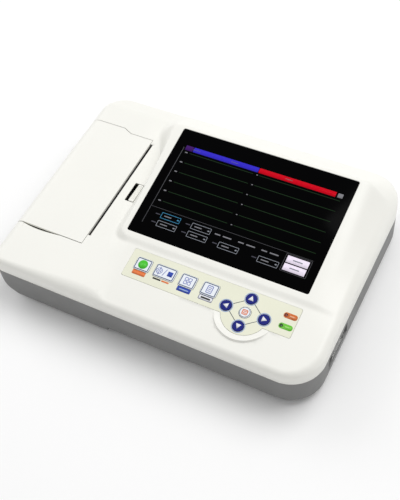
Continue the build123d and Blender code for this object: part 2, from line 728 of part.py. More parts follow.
# ---------------------------------------------------------------- paper tray, reel and print head
with BuildPart() as paper_tray:
    rim_z = 37.5
    with BuildSketch(side_plane(TRAY_Y + TRAY_WALL)):
        for radius, mode in ((TROUGH_R + TRAY_WALL, Mode.ADD), (TROUGH_R, Mode.SUBTRACT)):
            with Locations(ROLL_AT):
                Circle(radius, mode=mode)
            with Locations((ROLL_AT[0], ROLL_AT[1] + 20)):
                Rectangle(2 * radius, 40, mode=mode)
        with Locations((ROLL_AT[0], rim_z + 30)):
            Rectangle(80, 60, mode=Mode.SUBTRACT)
    extrude(amount=2 * (TRAY_Y + TRAY_WALL))
    # end walls, the front one carried on as the gear plate
    for y in (-TRAY_Y, TRAY_Y + TRAY_WALL):
        with BuildSketch(side_plane(y)):
            with Locations(ROLL_AT):
                Circle(TROUGH_R + 0.5)
            with Locations((ROLL_AT[0], (ROLL_AT[1] + rim_z) / 2)):
                Rectangle(2 * TROUGH_R + 1, rim_z - ROLL_AT[1])
            if y < 0:
                with Locations(GEAR_PLATE_AT):
                    Rectangle(*GEAR_PLATE)
            with Locations(ROLL_AT):
                Circle(3.1, mode=Mode.SUBTRACT)
            with Locations((ROLL_AT[0], ROLL_AT[1] + 10)):
                Rectangle(6.2, 20, mode=Mode.SUBTRACT)
            if y < 0:
                with Locations(IDLER_AT):
                    Circle(AXLE_R, mode=Mode.SUBTRACT)
                with Locations(PINION_AT):
                    Circle(2.0, mode=Mode.SUBTRACT)
        extrude(amount=TRAY_WALL)
save(paper_tray.part, "paper_tray")

with BuildPart() as paper_spindle:
    with BuildSketch(side_plane(57.5)):
        with Locations(ROLL_AT):
            Circle(SPINDLE_R)
    extrude(amount=115)
    with BuildSketch(side_plane(TRAY_Y + TRAY_WALL)):
        with Locations(ROLL_AT):
            Circle(3.0)
    extrude(amount=2 * (TRAY_Y + TRAY_WALL))
save(paper_spindle.part, "paper_spindle")

for name, inside, outside in (("paper_core", SPINDLE_R, CORE_R), ("paper_roll", CORE_R, ROLL_R)):
    with BuildPart() as sleeve:
        with BuildSketch(side_plane(PAPER_W / 2)):
            with Locations(ROLL_AT):
                Circle(outside)
                Circle(inside, mode=Mode.SUBTRACT)
        extrude(amount=PAPER_W)
    save(sleeve.part, name)

HEAD_X = PLATEN_AT[0] + PLATEN_R + 0.3
SINK_X = HEAD_X + 1.0
SPRING_X = SINK_X + 4.4
BRACKET_X = SPRING_X + 4.2
HEAD_W = 114.4

save(box(HEAD_X, SINK_X, -HEAD_W / 2, HEAD_W / 2, *HEAD_Z), "print_head")

with BuildPart() as print_head_heatsink:
    add(box(SINK_X, SPRING_X, -HEAD_W / 2, HEAD_W / 2, HEAD_Z[0], HEAD_Z[1] - 0.4))
    for k in range(3):
        z = HEAD_Z[0] + 2.2 + 3.2 * k
        add(box(SINK_X + 2.2, SPRING_X + 1, -HEAD_W / 2 + 3, HEAD_W / 2 - 3, z, z + 1.4), mode=Mode.SUBTRACT)
save(print_head_heatsink.part, "print_head_heatsink")

with BuildPart() as print_head_springs:
    for y in (-30, 0, 30):
        with BuildSketch(Plane.YZ.offset(SPRING_X)):
            with Locations((y, HEAD_Z[0] + 1.2)):
                Circle(1.05)
        extrude(amount=BRACKET_X - SPRING_X)
save(print_head_springs.part, "print_head_springs")

with BuildPart() as head_bracket:
    add(box(BRACKET_X, BRACKET_X + 1.2, -39.5, TRAY_Y, BELLY_Z + WALL + 0.1, 48.2))
    add(box(BRACKET_X, BRACKET_X + 11, -39.5, TRAY_Y, BELLY_Z + WALL + 0.1, BELLY_Z + WALL + 1.3))
    with BuildSketch(Plane.YZ.offset(BRACKET_X)):
        with Locations((10, 22)):
            RectangleRounded(60, 16, 3)
    extrude(amount=2, mode=Mode.SUBTRACT)
save(head_bracket.part, "head_bracket")


# ---------------------------------------------------------------- release button
LATCH_TOP = DECK_Z + 0.55

with BuildPart() as latch_button:
    with BuildSketch(Plane.XY.offset(LATCH_PLATE_Z[1])):
        with Locations((LATCH_X, 0)):
            RectangleRounded(*LATCH, 0.8)
    extrude(amount=LATCH_TOP - LATCH_PLATE_Z[1])
    chamfer(latch_button.faces().sort_by(Axis.Z)[-1].edges(), 0.35)
    with BuildSketch(Plane.XY.offset(LATCH_TOP)):
        with Locations((LATCH_X, 0)):
            with GridLocations(RIBS[1], 0, RIBS[0], 1):
                Rectangle(RIBS[2], LATCH[1] - 4)
    extrude(amount=-0.4, mode=Mode.SUBTRACT)
    plate_left = LATCH_X - LATCH[0] / 2 + 0.1
    add(box(plate_left, LATCH_X + LATCH_TAB[1], -13, 13, *LATCH_PLATE_Z))
    add(box(LATCH_X + LATCH_TAB[0], LATCH_X + LATCH_TAB[1], -5, 5, 42.5, LATCH_PLATE_Z[0] + 0.1))
save(latch_button.part, "latch_button")

with BuildPart() as latch_spring:
    spring_r, wire_r = 1.9, 0.3
    start, end = BRACKET_X + 1.2 + wire_r + 0.02, LATCH_X + LATCH_TAB[0] - wire_r - 0.02
    with BuildLine() as coil:
        Helix((end - start) / 5, end - start, spring_r, center=(start, 0, 45.4), direction=(1, 0, 0))
    with BuildSketch(Plane(origin=coil.line @ 0, z_dir=coil.line % 0)):
        Circle(wire_r)
    sweep(path=coil.line, is_frenet=True)
save(latch_spring.part, "latch_spring")


# ---------------------------------------------------------------- display
MIDDLE = (GLASS[0] / 2, GLASS[1] / 2)

with BuildPart() as screen_glass:
    with BuildSketch(glass_plane(-GLASS[2])):
        with Locations(MIDDLE):
            RectangleRounded(GLASS[0], GLASS[1], 1.5)
    extrude(amount=GLASS[2])
    chamfer(screen_glass.faces().sort_by(Axis.Z)[-1].edges(), 0.3)
save(screen_glass.part, "screen_glass")

with BuildPart() as screen_gasket:
    with BuildSketch(glass_plane(-LEDGE[1] - 0.4)):
        with Locations(MIDDLE):
            Rectangle(LCD[0] - 1, LCD[1] - 1)
            Rectangle(*VIEW, mode=Mode.SUBTRACT)
    extrude(amount=0.4)
save(screen_gasket.part, "screen_gasket")

LCD_TOP = -LEDGE[1] - 0.4

with BuildPart() as lcd_module:
    with BuildSketch(glass_plane(LCD_TOP - LCD[2])):
        with Locations(MIDDLE):
            RectangleRounded(LCD[0], LCD[1], 1)
    extrude(amount=LCD[2])
save(lcd_module.part, "lcd_module")

with BuildPart() as lcd_bracket:
    with BuildSketch(glass_plane(LCD_TOP - LCD[2] - 0.1)):
        with Locations(MIDDLE):
            RectangleRounded(BRACKET[0], BRACKET[1], 3)
            RectangleRounded(120, 70, 4, mode=Mode.SUBTRACT)
    extrude(amount=-BRACKET[2])
    with BuildSketch(glass_plane(-LEDGE[1])):
        with Locations(MIDDLE):
            with GridLocations(BRACKET[0] - 6.2, BRACKET[1] - 6.2, 2, 2):
                Circle(2.2)
    extrude(amount=LCD_TOP - LCD[2] + LEDGE[1] - 0.1)
save(lcd_bracket.part, "lcd_bracket")


# ---------------------------------------------------------------- keypad
with BuildPart() as keypad_overlay:
    with BuildSketch(keypad_plane(-OVERLAY_T)):
        add(overlay_plan(0.0))
        for name in KEYS:
            add(key_plan(name, KEY_GAP), mode=Mode.SUBTRACT)
        with Locations(*LEDS.values()):
            Circle(LED_R + 0.15, mode=Mode.SUBTRACT)
    extrude(amount=OVERLAY_T)
save(keypad_overlay.part, "keypad_overlay")

for name in KEYS:
    with BuildPart() as key:
        with BuildSketch(keypad_plane(-4.4)):
            add(key_plan(name, 0.0))
        extrude(amount=4.4 + KEY_PROUD)
        fillet(key.faces().sort_by(Axis.Z)[-1].edges(), 0.4)
        with BuildSketch(keypad_plane(-4.4)):
            add(key_plan(name, 0.95))
        extrude(amount=0.8)
        with BuildSketch(keypad_plane(-5.0)):
            with Locations(key_centre(name)):
                Circle(1.5)
        extrude(amount=0.7)
    save(key.part, name)

with BuildPart() as keypad_board:
    with BuildSketch(keypad_plane(-KEYBOARD_DEPTH - 1.6)):
        with Locations((OVERLAY_UV[0] + 3, OVERLAY_UV[1] - 4)):
            RectangleRounded(OVERLAY[0] - 4, OVERLAY[1] + 12, 2)
    extrude(amount=1.6)
save(keypad_board.part, "keypad_board")

with BuildPart() as key_domes:
    for name in KEYS:
        with BuildSketch(keypad_plane(-KEYBOARD_DEPTH)):
            with Locations(key_centre(name)):
                Circle(3.2)
        extrude(amount=0.6, taper=35)
save(key_domes.part, "key_domes")

for name, spot in LEDS.items():
    with BuildPart() as lamp:
        with BuildSketch(keypad_plane(-KEYBOARD_DEPTH)):
            with Locations(spot):
                Circle(LED_R)
        extrude(amount=KEYBOARD_DEPTH - 0.2)
        fillet(lamp.edges().sort_by(Axis.Z)[-1:], 1.0)
    save(lamp.part, name)


# ---------------------------------------------------------------- electronics
def board(corners, name):
    x0, x1, y0, y1, z = corners
    with BuildPart() as plate:
        with BuildSketch(Plane.XY.offset(z)):
            with Locations(((x0 + x1) / 2, (y0 + y1) / 2)):
                RectangleRounded(x1 - x0, y1 - y0, 2)
            with Locations(board_corners(corners)):
                Circle(1.4, mode=Mode.SUBTRACT)
        extrude(amount=BOARD_T)
    save(plate.part, name)


board(BOARD, "main_board")
board(POWER, "power_board")
BOARD_TOP = BOARD[4] + BOARD_T
POWER_TOP = POWER[4] + BOARD_T

with BuildPart() as board_chips:
    for x, y, w, d, h in ((-20, -30, 24, 24, 1.6), (16, -34, 18, 12, 1.2), (16, -16, 18, 12, 1.2),
                          (-30, 4, 12, 9, 1.4), (40, -60, 10, 40, 4.5), (-42, -64, 8, 24, 4.0)):
        add(box(x - w / 2, x + w / 2, y - d / 2, y + d / 2, BOARD_TOP, BOARD_TOP + h))
save(board_chips.part, "board_chips")

with BuildPart() as shield_can:
    add(box(-10, 50, 14, 60, BOARD_TOP, BOARD_TOP + 8))
    add(box(-9.6, 49.6, 14.4, 59.6, BOARD_TOP - 1, BOARD_TOP + 7.6), mode=Mode.SUBTRACT)
save(shield_can.part, "shield_can")

with BuildPart() as power_parts:
    add(box(92, 120, 12, 40, POWER_TOP, POWER_TOP + 20))
    for x, y, r, h in ((82, 50, 7, 22), (82, 4, 5, 14), (130, 54, 6, 18), (130, -2, 4, 12)):
        with Locations((x, y, POWER_TOP + h / 2)):
            Cylinder(r, h)
save(power_parts.part, "power_parts")

with BuildPart() as speaker:
    with BuildSketch(Plane.XY.offset(BASE_Z + WALL)):
        with Locations(SPEAKER_AT):
            Circle(SPEAKER_R)
    extrude(amount=3)
    with BuildSketch(Plane.XY.offset(BASE_Z + WALL + 3)):
        with Locations(SPEAKER_AT):
            Circle(8)
    extrude(amount=4)
save(speaker.part, "speaker")


# ---------------------------------------------------------------- ports
PLATE_BACK = -CONNECTOR_DEPTH

with BuildPart() as lead_connector_shell:
    with BuildSketch(connector_plane(PLATE_BACK)):
        RectangleRounded(*CONNECTOR_PLATE, 0.8)
        for u in CONNECTOR_EARS:
            with Locations((u, 0)):
                Circle(STANDOFF_R, mode=Mode.SUBTRACT)
    extrude(amount=0.8)
    with BuildSketch(connector_plane(PLATE_BACK)):
        Trapezoid(24.6, 8.0, 80)
    extrude(amount=3.6)
    with BuildSketch(connector_plane(PLATE_BACK)):
        Trapezoid(23.4, 6.8, 80)
    extrude(amount=3.6, mode=Mode.SUBTRACT)
save(lead_connector_shell.part, "lead_connector_shell")

with BuildPart() as lead_connector_insert:
    with BuildSketch(connector_plane(PLATE_BACK)):
        Trapezoid(23.4, 6.8, 80)
    extrude(amount=3.0)
    with BuildSketch(connector_plane(PLATE_BACK)):
        Trapezoid(20, 5, 80)
    extrude(amount=-8)
    with BuildSketch(connector_plane(PLATE_BACK + 3.0)):
        for v, count in ((1.42, 8), (-1.42, 7)):
            with Locations((0, v)):
                with GridLocations(2.74, 0, count, 1):
                    Circle(0.55)
    extrude(amount=-3, mode=Mode.SUBTRACT)
save(lead_connector_insert.part, "lead_connector_insert")

with BuildPart() as connector_standoffs:
    for u in CONNECTOR_EARS:
        with BuildSketch(connector_plane(PLATE_BACK + 0.8)):
            with Locations((u, 0)):
                RegularPolygon(2.7, 6)
        extrude(amount=1.8)
        with BuildSketch(connector_plane(PLATE_BACK + 0.8)):
            with Locations((u, 0)):
                Circle(STANDOFF_R)
        extrude(amount=-4.8)
        with BuildSketch(connector_plane(PLATE_BACK + 2.6)):
            with Locations((u, 0)):
                Circle(STANDOFF_BORE_R)
        extrude(amount=-5, mode=Mode.SUBTRACT)
save(connector_standoffs.part, "connector_standoffs")

with BuildPart() as mains_inlet:
    with BuildSketch(side_plane(BAY_Y + 2.0)):
        with Locations((INLET_X, INLET_Z)):
            RectangleRounded(31, 23.6, 2)
    extrude(amount=1.95)
    with BuildSketch(side_plane(BAY_Y + 2.0)):
        with Locations((INLET_X, INLET_Z)):
            Rectangle(*INLET_BODY)
    extrude(amount=20)
    with BuildSketch(side_plane(BAY_Y + 2.1)):
        with Locations((INLET_X, INLET_Z)):
            Rectangle(*INLET_MOUTH)
    extrude(amount=17, mode=Mode.SUBTRACT)
save(mains_inlet.part, "mains_inlet")

with BuildPart() as inlet_pins:
    for x, z in ((-7, -1.5), (7, -1.5), (0, 2.5)):
        with BuildSketch(side_plane(BAY_Y - 2.0)):
            with Locations((INLET_X + x, INLET_Z + z)):
                RectangleRounded(2.0, 4.0, 0.4)
        extrude(amount=12.9)
save(inlet_pins.part, "inlet_pins")

with BuildPart() as usb_port:
    with BuildSketch(side_plane(BAY_Y + 0.6)):
        with Locations((USB_X, INLET_Z)):
            RectangleRounded(*USB_SHELL, 0.5)
            RectangleRounded(12.4, 5.4, 0.4, mode=Mode.SUBTRACT)
    extrude(amount=13)
    with BuildSketch(side_plane(BAY_Y - 11.4)):
        with Locations((USB_X, INLET_Z)):
            Rectangle(13.0, 6.0)
    extrude(amount=1)
    with BuildSketch(side_plane(BAY_Y - 1.0)):
        with Locations((USB_X, INLET_Z + 1.0)):
            Rectangle(10.6, 1.6)
    extrude(amount=11)
save(usb_port.part, "usb_port")

with BuildPart() as equipotential_stud:
    with BuildSketch(side_plane(BAY_Y + 7.6)):
        with Locations((STUD_X, INLET_Z)):
            Circle(3.0)
    extrude(amount=6.35)
    chamfer(equipotential_stud.edges().filter_by(GeomType.CIRCLE).group_by(Axis.Y)[-1], 0.5)
    with BuildSketch(side_plane(BAY_Y + 1.25)):
        with Locations((STUD_X, INLET_Z)):
            RegularPolygon(5.2, 6)
    extrude(amount=1.2)
    with BuildSketch(side_plane(BAY_Y + 0.05)):
        with Locations((STUD_X, INLET_Z)):
            Circle(STUD_SHANK_R)
    extrude(amount=9)
save(equipotential_stud.part, "equipotential_stud")
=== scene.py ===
"""Looks of a tabletop ECG recorder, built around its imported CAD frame.

Lengths are in millimetres up to the point where a mesh is made, which is in metres.
"""
import json
from math import atan2, cos, hypot, pi, radians, sin, sqrt, tan

import bpy
from mathutils import Matrix, Vector
from mathutils.geometry import delaunay_2d_cdt


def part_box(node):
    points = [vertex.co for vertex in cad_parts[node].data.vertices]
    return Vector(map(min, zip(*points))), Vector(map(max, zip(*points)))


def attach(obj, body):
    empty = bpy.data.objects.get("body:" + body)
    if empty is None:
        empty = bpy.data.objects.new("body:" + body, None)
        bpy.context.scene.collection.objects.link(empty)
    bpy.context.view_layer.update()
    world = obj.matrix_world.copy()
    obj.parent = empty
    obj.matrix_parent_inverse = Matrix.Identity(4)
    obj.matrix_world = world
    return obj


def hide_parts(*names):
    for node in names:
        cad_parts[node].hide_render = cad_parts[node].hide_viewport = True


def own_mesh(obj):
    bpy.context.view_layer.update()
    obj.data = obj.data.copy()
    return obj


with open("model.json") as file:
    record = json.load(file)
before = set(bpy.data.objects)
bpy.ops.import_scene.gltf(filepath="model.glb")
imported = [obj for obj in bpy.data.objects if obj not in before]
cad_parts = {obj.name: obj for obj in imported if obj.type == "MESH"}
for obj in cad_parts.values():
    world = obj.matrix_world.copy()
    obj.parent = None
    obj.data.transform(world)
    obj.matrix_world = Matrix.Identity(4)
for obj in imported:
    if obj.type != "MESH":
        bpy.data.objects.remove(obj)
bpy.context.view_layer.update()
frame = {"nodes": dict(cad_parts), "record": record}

MM = 0.001


def corners(node):
    """A CAD node's lowest and highest corners, in mm."""
    low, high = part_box(node)
    return Vector(low) / MM, Vector(high) / MM


# ---------------------------------------------------------------- measures taken from the frame
SHELL_LOW, SHELL_HIGH = corners("upper_shell")
LEFT, FRONT, SEAM_Z = SHELL_LOW
RIGHT, BACK, _ = SHELL_HIGH
GLASS_LOW, GLASS_HIGH = corners("screen_glass")
DOOR_LOW, DOOR_HIGH = corners("printer_door")
LATCH_LEFT = corners("latch_button")[0].x

DECK_Z, DECK_TILT = 55.35, radians(2.2)            # printer deck at y = 0
SCREEN_TILT = radians(9.9)
KEYPAD_TILT = radians(8.0)
GLASS_SIZE = (GLASS_HIGH.x - GLASS_LOW.x, 113.4)
GLASS_Y = GLASS_LOW.y - 0.05
GLASS_Z = GLASS_HIGH.z - GLASS_SIZE[1] * sin(SCREEN_TILT)
KEYPAD_Y, KEYPAD_Z = GLASS_Y - 12.0, GLASS_Z - 3.4
LIP_Z = 48.1                                        # where the back slopes meet the back wall
RIDGE_Y = 72.35
DECK_BACK_Y = 88.4
RIGHT_EDGE_Z = 55.0
RIGHT_RIM = 129.6
RIM_FRONT_Y = -47.15
WALL = 2.5
CORNERS = (14.0, 30.0, 38.0, 22.0)                 # rounds seen from above, from the front left
DOOR_SILL_Z = DOOR_LOW.z - 0.4                      # casing's wall under the door's hinge
GAP = 0.5


# ---------------------------------------------------------------- materials
class Shader:
    """One procedural material: a principled shader with nodes feeding it."""

    def __init__(self, name, roughness, metallic=0.0, coat=0.0, specular=0.5, sheen=0.0):
        self.material = bpy.data.materials.new(name)
        self.material.use_nodes = True
        self.nodes = self.material.node_tree.nodes
        self.links = self.material.node_tree.links
        self.shader = self.nodes["Principled BSDF"]
        self.shader.inputs["Roughness"].default_value = roughness
        self.shader.inputs["Metallic"].default_value = metallic
        self.shader.inputs["Coat Weight"].default_value = coat
        self.shader.inputs["Coat Roughness"].default_value = 0.05
        self.shader.inputs["Specular IOR Level"].default_value = specular
        self.shader.inputs["Sheen Weight"].default_value = sheen
        self.place = self.nodes.new("ShaderNodeTexCoord").outputs["Object"]

    def noise(self, scale, detail=3.0, stretch=(1, 1, 1)):
        """Noise with features about 1 / scale metres across, drawn out along an axis by stretch."""
        mapping = self.nodes.new("ShaderNodeMapping")
        mapping.inputs["Scale"].default_value = stretch
        self.links.new(self.place, mapping.inputs["Vector"])
        noise = self.nodes.new("ShaderNodeTexNoise")
        noise.inputs["Scale"].default_value = scale
        noise.inputs["Detail"].default_value = detail
        self.links.new(mapping.outputs["Vector"], noise.inputs["Vector"])
        return noise.outputs["Fac"]

    def colour(self, light, dark, source):
        """Colour that drifts between two shades."""
        ramp = self.nodes.new("ShaderNodeValToRGB")
        ramp.color_ramp.elements[0].position = 0.35
        ramp.color_ramp.elements[1].position = 0.65
        ramp.color_ramp.elements[0].color = (*dark, 1)
        ramp.color_ramp.elements[1].color = (*light, 1)
        self.links.new(source, ramp.inputs["Fac"])
        self.links.new(ramp.outputs["Color"], self.shader.inputs["Base Color"])

    def gloss(self, low, high, source):
        """Roughness that varies from low to high."""
        spread = self.nodes.new("ShaderNodeMapRange")
        spread.inputs["From Min"].default_value = 0.3
        spread.inputs["From Max"].default_value = 0.7
        spread.inputs["To Min"].default_value = low
        spread.inputs["To Max"].default_value = high
        self.links.new(source, spread.inputs["Value"])
        self.links.new(spread.outputs["Result"], self.shader.inputs["Roughness"])

    def relief(self, strength, depth, source):
        """Surface relief of a depth in metres."""
        bump = self.nodes.new("ShaderNodeBump")
        bump.inputs["Strength"].default_value = strength
        bump.inputs["Distance"].default_value = depth
        self.links.new(source, bump.inputs["Height"])
        self.links.new(bump.outputs["Normal"], self.shader.inputs["Normal"])


def shade(colour, factor):
    return tuple(part * factor for part in colour)


def plastic(name, colour, roughness, grain=0.00006, specular=0.5, coat=0.0, drift=0.97):
    """Moulded plastic: a fine spark-eroded grain and a slight drift in colour and gloss."""
    made = Shader(name, roughness, specular=specular, coat=coat)
    made.colour(colour, shade(colour, drift), made.noise(18))
    made.gloss(roughness * 0.9, roughness * 1.12, made.noise(55))
    made.relief(0.35, grain, made.noise(2600, 2.0))
    return made.material


def printed(name, colour, roughness=0.4, coat=0.0):
    """A printed or painted area: dense ink with a slight mottle."""
    made = Shader(name, roughness, coat=coat)
    made.colour(colour, shade(colour, 0.9), made.noise(420))
    made.gloss(roughness * 0.9, roughness * 1.1, made.noise(900))
    return made.material


def metal(name, colour, roughness, along=(1, 1, 1), grain=0.00002):
    """Metal with fine marks drawn out along one direction."""
    made = Shader(name, roughness, metallic=1.0)
    marks = made.noise(1400, 4.0, along)
    made.colour(colour, shade(colour, 0.86), made.noise(60, 4.0, along))
    made.gloss(roughness * 0.75, roughness * 1.3, marks)
    made.relief(0.25, grain, marks)
    return made.material


def lit(name, colour, strength, roughness=0.12):
    """A lit part of the display, seen through polished glass."""
    made = Shader(name, roughness, specular=0.02)
    made.colour(colour, shade(colour, 0.82), made.noise(700))
    made.shader.inputs["Emission Color"].default_value = (*colour, 1)
    made.shader.inputs["Emission Strength"].default_value = strength
    return made.material


def paper(name, colour):
    """Thermal paper: short fibres and a fine mottle; no turns are drawn on the roll's ends."""
    made = Shader(name, 0.7)
    made.colour(colour, shade(colour, 0.93), made.noise(900, 5.0))
    made.relief(0.3, 0.00005, made.noise(1800, 4.0))
    return made.material


def circuit_board(name, colour):
    """Solder mask with the darker and lighter areas of the copper below it."""
    made = Shader(name, 0.35, coat=0.3)
    bricks = made.nodes.new("ShaderNodeTexBrick")
    bricks.inputs["Scale"].default_value = 160
    bricks.inputs["Color1"].default_value = (*colour, 1)
    bricks.inputs["Color2"].default_value = (*shade(colour, 0.75), 1)
    bricks.inputs["Mortar"].default_value = (*shade(colour, 1.9), 1)
    bricks.inputs["Mortar Size"].default_value = 0.06
    made.links.new(made.place, bricks.inputs["Vector"])
    made.links.new(bricks.outputs["Color"], made.shader.inputs["Base Color"])
    made.relief(0.3, 0.00004, bricks.outputs["Fac"])
    return made.material


WHITE = (0.875, 0.87, 0.82)
NAVY = (0.006, 0.012, 0.19)

MATERIALS = {
    "white_casing": plastic("white_casing", WHITE, 0.42, grain=0.00003, drift=0.985),
    "grey_base": plastic("grey_base", (0.205, 0.205, 0.203), 0.55, grain=0.00012),
    "rubber_black": plastic("rubber_black", (0.018, 0.018, 0.018), 0.82, grain=0.0001, specular=0.25),
    "rubber_grey": plastic("rubber_grey", (0.045, 0.045, 0.047), 0.7, grain=0.00008, specular=0.3),
    "steel": metal("steel", (0.55, 0.55, 0.56), 0.28, (0.2, 1, 1)),
    "zinc_plate": metal("zinc_plate", (0.46, 0.47, 0.46), 0.42, (1, 0.3, 1)),
    "aluminium_fins": metal("aluminium_fins", (0.66, 0.66, 0.67), 0.38, (1, 0.1, 1)),
    "nylon_gear": plastic("nylon_gear", (0.74, 0.72, 0.62), 0.5),
    "bronze_bush": metal("bronze_bush", (0.42, 0.26, 0.11), 0.45),
    "paper": paper("paper", (0.88, 0.88, 0.86)),
    "board_core": paper("board_core", (0.45, 0.32, 0.19)),
    "black_plastic": plastic("black_plastic", (0.014, 0.014, 0.015), 0.45),
    "screen_glass": plastic("screen_glass", (0.0012, 0.0012, 0.0014), 0.06, grain=0.0, specular=0.02),
    "lcd_frame": metal("lcd_frame", (0.5, 0.51, 0.52), 0.35, (0.2, 1, 1)),
    "overlay": plastic("overlay", (0.815, 0.82, 0.665), 0.38, grain=0.00002, drift=0.96),
    "key_white": plastic("key_white", (0.82, 0.86, 0.92), 0.35, grain=0.00001),
    "key_navy": plastic("key_navy", NAVY, 0.4, grain=0.00001, specular=0.2),
    "circuit_board": circuit_board("circuit_board", (0.012, 0.09, 0.035)),
    "chip_black": plastic("chip_black", (0.016, 0.016, 0.017), 0.5),
    "lamp_red": plastic("lamp_red", (0.20, 0.012, 0.006), 0.2, grain=0.0, coat=0.6),
    "lamp_green": plastic("lamp_green", (0.015, 0.09, 0.012), 0.2, grain=0.0, coat=0.6),
    "chrome_shell": metal("chrome_shell", (0.62, 0.62, 0.60), 0.16),
    "brass_contact": metal("brass_contact", (0.62, 0.42, 0.14), 0.25),
    "battery_wrap": plastic("battery_wrap", (0.02, 0.05, 0.22), 0.25, coat=0.5),
    "print_ceramic": plastic("print_ceramic", (0.30, 0.27, 0.22), 0.2, coat=0.4),
}

INKS = {
    "navy": printed("ink_navy", NAVY),
    "outline": printed("ink_outline", (0.05, 0.085, 0.17)),
    "blue": printed("ink_blue", (0.02, 0.06, 0.42)),
    "pale_blue": printed("ink_pale_blue", (0.33, 0.45, 0.72)),
    "black": printed("ink_black", (0.02, 0.02, 0.02)),
    "white": printed("ink_white", (0.86, 0.87, 0.9)),
    "green": printed("ink_green", (0.06, 0.60, 0.02)),
    "leaf": printed("ink_leaf", (0.16, 0.60, 0.04)),
    "orange": printed("ink_orange", (0.82, 0.20, 0.05)),
    "amber": printed("ink_amber", (0.66, 0.15, 0.02)),
    "line": printed("ink_line", (0.10, 0.12, 0.14)),
    "amber_pale": printed("ink_amber_pale", (0.85, 0.42, 0.24)),
    "leaf_pale": printed("ink_leaf_pale", (0.34, 0.74, 0.16)),
}

LIGHTS = {
    "title_blue": lit("lit_title_blue", (0.022, 0.016, 0.32), 0.8),
    "title_red": lit("lit_title_red", (0.34, 0.002, 0.008), 0.8),
    "purple": lit("lit_purple", (0.035, 0.008, 0.09), 0.6),
    "field": lit("lit_field", (0.14, 0.15, 0.17), 0.9),
    "field_blue": lit("lit_field_blue", (0.03, 0.14, 0.24), 1.0),
    "trace": lit("lit_trace", (0.009, 0.022, 0.009), 0.9),
    "frame": lit("lit_frame", (0.045, 0.045, 0.05), 0.9),
    "label": lit("lit_label", (0.11, 0.11, 0.12), 1.0),
    "dim": lit("lit_dim", (0.035, 0.035, 0.045), 1.0),
    "button": lit("lit_button", (0.62, 0.56, 0.66), 0.5),
    "panel": lit("lit_panel", (0.0016, 0.0018, 0.0022), 0.5, roughness=0.08),
}


# ---------------------------------------------------------------- small geometry helpers
def smooth(t):
    t = min(max(t, 0.0), 1.0)
    return t * t * (3 - 2 * t)


def soft_low(a, b, reach):
    """The lower of two heights, with the crease between them rounded off."""
    near = max(reach - abs(a - b), 0.0) / reach
    return min(a, b) - near * near * reach / 4


def straight(start, end, step):
    """Points from start up to, not including, end."""
    start, end = Vector(start), Vector(end)
    count = max(1, round((end - start).length / step))
    return [start.lerp(end, k / count) for k in range(count)]


def arc(start, end, tangent, count):
    """Points from start up to, not including, end on the arc that leaves start along tangent."""
    start, end, tangent = Vector(start), Vector(end), Vector(tangent).normalized()
    chord = end - start
    turn = atan2(tangent.cross(chord), tangent.dot(chord))
    centre = start + Vector((-tangent.y, tangent.x)) * (chord.length / (2 * sin(turn)))
    spoke = start - centre
    points = []
    for k in range(count):
        angle = 2 * turn * k / count
        turned = (spoke.x * cos(angle) - spoke.y * sin(angle), spoke.x * sin(angle) + spoke.y * cos(angle))
        points.append(centre + Vector(turned))
    return points


def circle(centre, radius, count=40, start=0.0, sweep=2 * pi):
    return [Vector((centre[0] + radius * cos(start + sweep * k / count),
                    centre[1] + radius * sin(start + sweep * k / count))) for k in range(count)]


def rounded(centre, width, height, radius, count=5):
    """A rectangle with round corners, counterclockwise."""
    points = []
    for sx, sy, first in ((1, -1, -pi / 2), (1, 1, 0.0), (-1, 1, pi / 2), (-1, -1, pi)):
        at = (centre[0] + sx * (width / 2 - radius), centre[1] + sy * (height / 2 - radius))
        for k in range(count + 1):
            angle = first + pi / 2 * k / count
            points.append(Vector((at[0] + radius * cos(angle), at[1] + radius * sin(angle))))
    return points


def grown(loop, distance):
    """A closed counterclockwise loop moved outward, corners kept sharp."""
    result = []
    for k, point in enumerate(loop):
        before = (point - loop[k - 1]).normalized()
        after = (loop[(k + 1) % len(loop)] - point).normalized()
        n0, n1 = Vector((before.y, -before.x)), Vector((after.y, -after.x))
        middle = (n0 + n1).normalized()
        result.append(point + middle * (distance / max(middle.dot(n0), 0.3)))
    return result


def inside(x, y, loop):
    odd = False
    x0, y0 = loop[-1]
    for x1, y1 in loop:
        if (y0 > y) != (y1 > y) and x < x0 + (y - y0) / (y1 - y0) * (x1 - x0):
            odd = not odd
        x0, y0 = x1, y1
    return odd


def nearest(x, y, loop):
    """Distance from a point to a closed loop, and the outward direction there."""
    best, normal = 1e9, (0.0, 0.0)
    x0, y0 = loop[-1]
    for x1, y1 in loop:
        dx, dy = x1 - x0, y1 - y0
        length = dx * dx + dy * dy
        if length > 1e-12:
            t = min(max(((x - x0) * dx + (y - y0) * dy) / length, 0.0), 1.0)
            gap = hypot(x - x0 - t * dx, y - y0 - t * dy)
            if gap < best:
                size = sqrt(length)
                best, normal = gap, (dy / size, -dx / size)
        x0, y0 = x1, y1
    return best, normal


def triangulate(outer, holes=(), rings=(), points=()):
    """Triangles inside outer and outside the holes; rings become edges and points become vertices."""
    places, edges = [], []
    for loop in (outer, *holes, *rings):
        start = len(places)
        places += loop
        edges += [(start + k, start + (k + 1) % len(loop)) for k in range(len(loop))]
    places += points
    verts, _, faces = delaunay_2d_cdt(places, edges, [], 0, 1e-4)[:3]
    outer_xy = [tuple(p) for p in outer]
    holes_xy = [[tuple(p) for p in hole] for hole in holes]
    kept = []
    for face in faces:
        x = sum(verts[i].x for i in face) / len(face)
        y = sum(verts[i].y for i in face) / len(face)
        if inside(x, y, outer_xy) and not any(inside(x, y, hole) for hole in holes_xy):
            kept.append(list(face))
    used = sorted({i for face in kept for i in face})
    index = {old: new for new, old in enumerate(used)}
    return [verts[i] for i in used], [[index[i] for i in face] for face in kept]


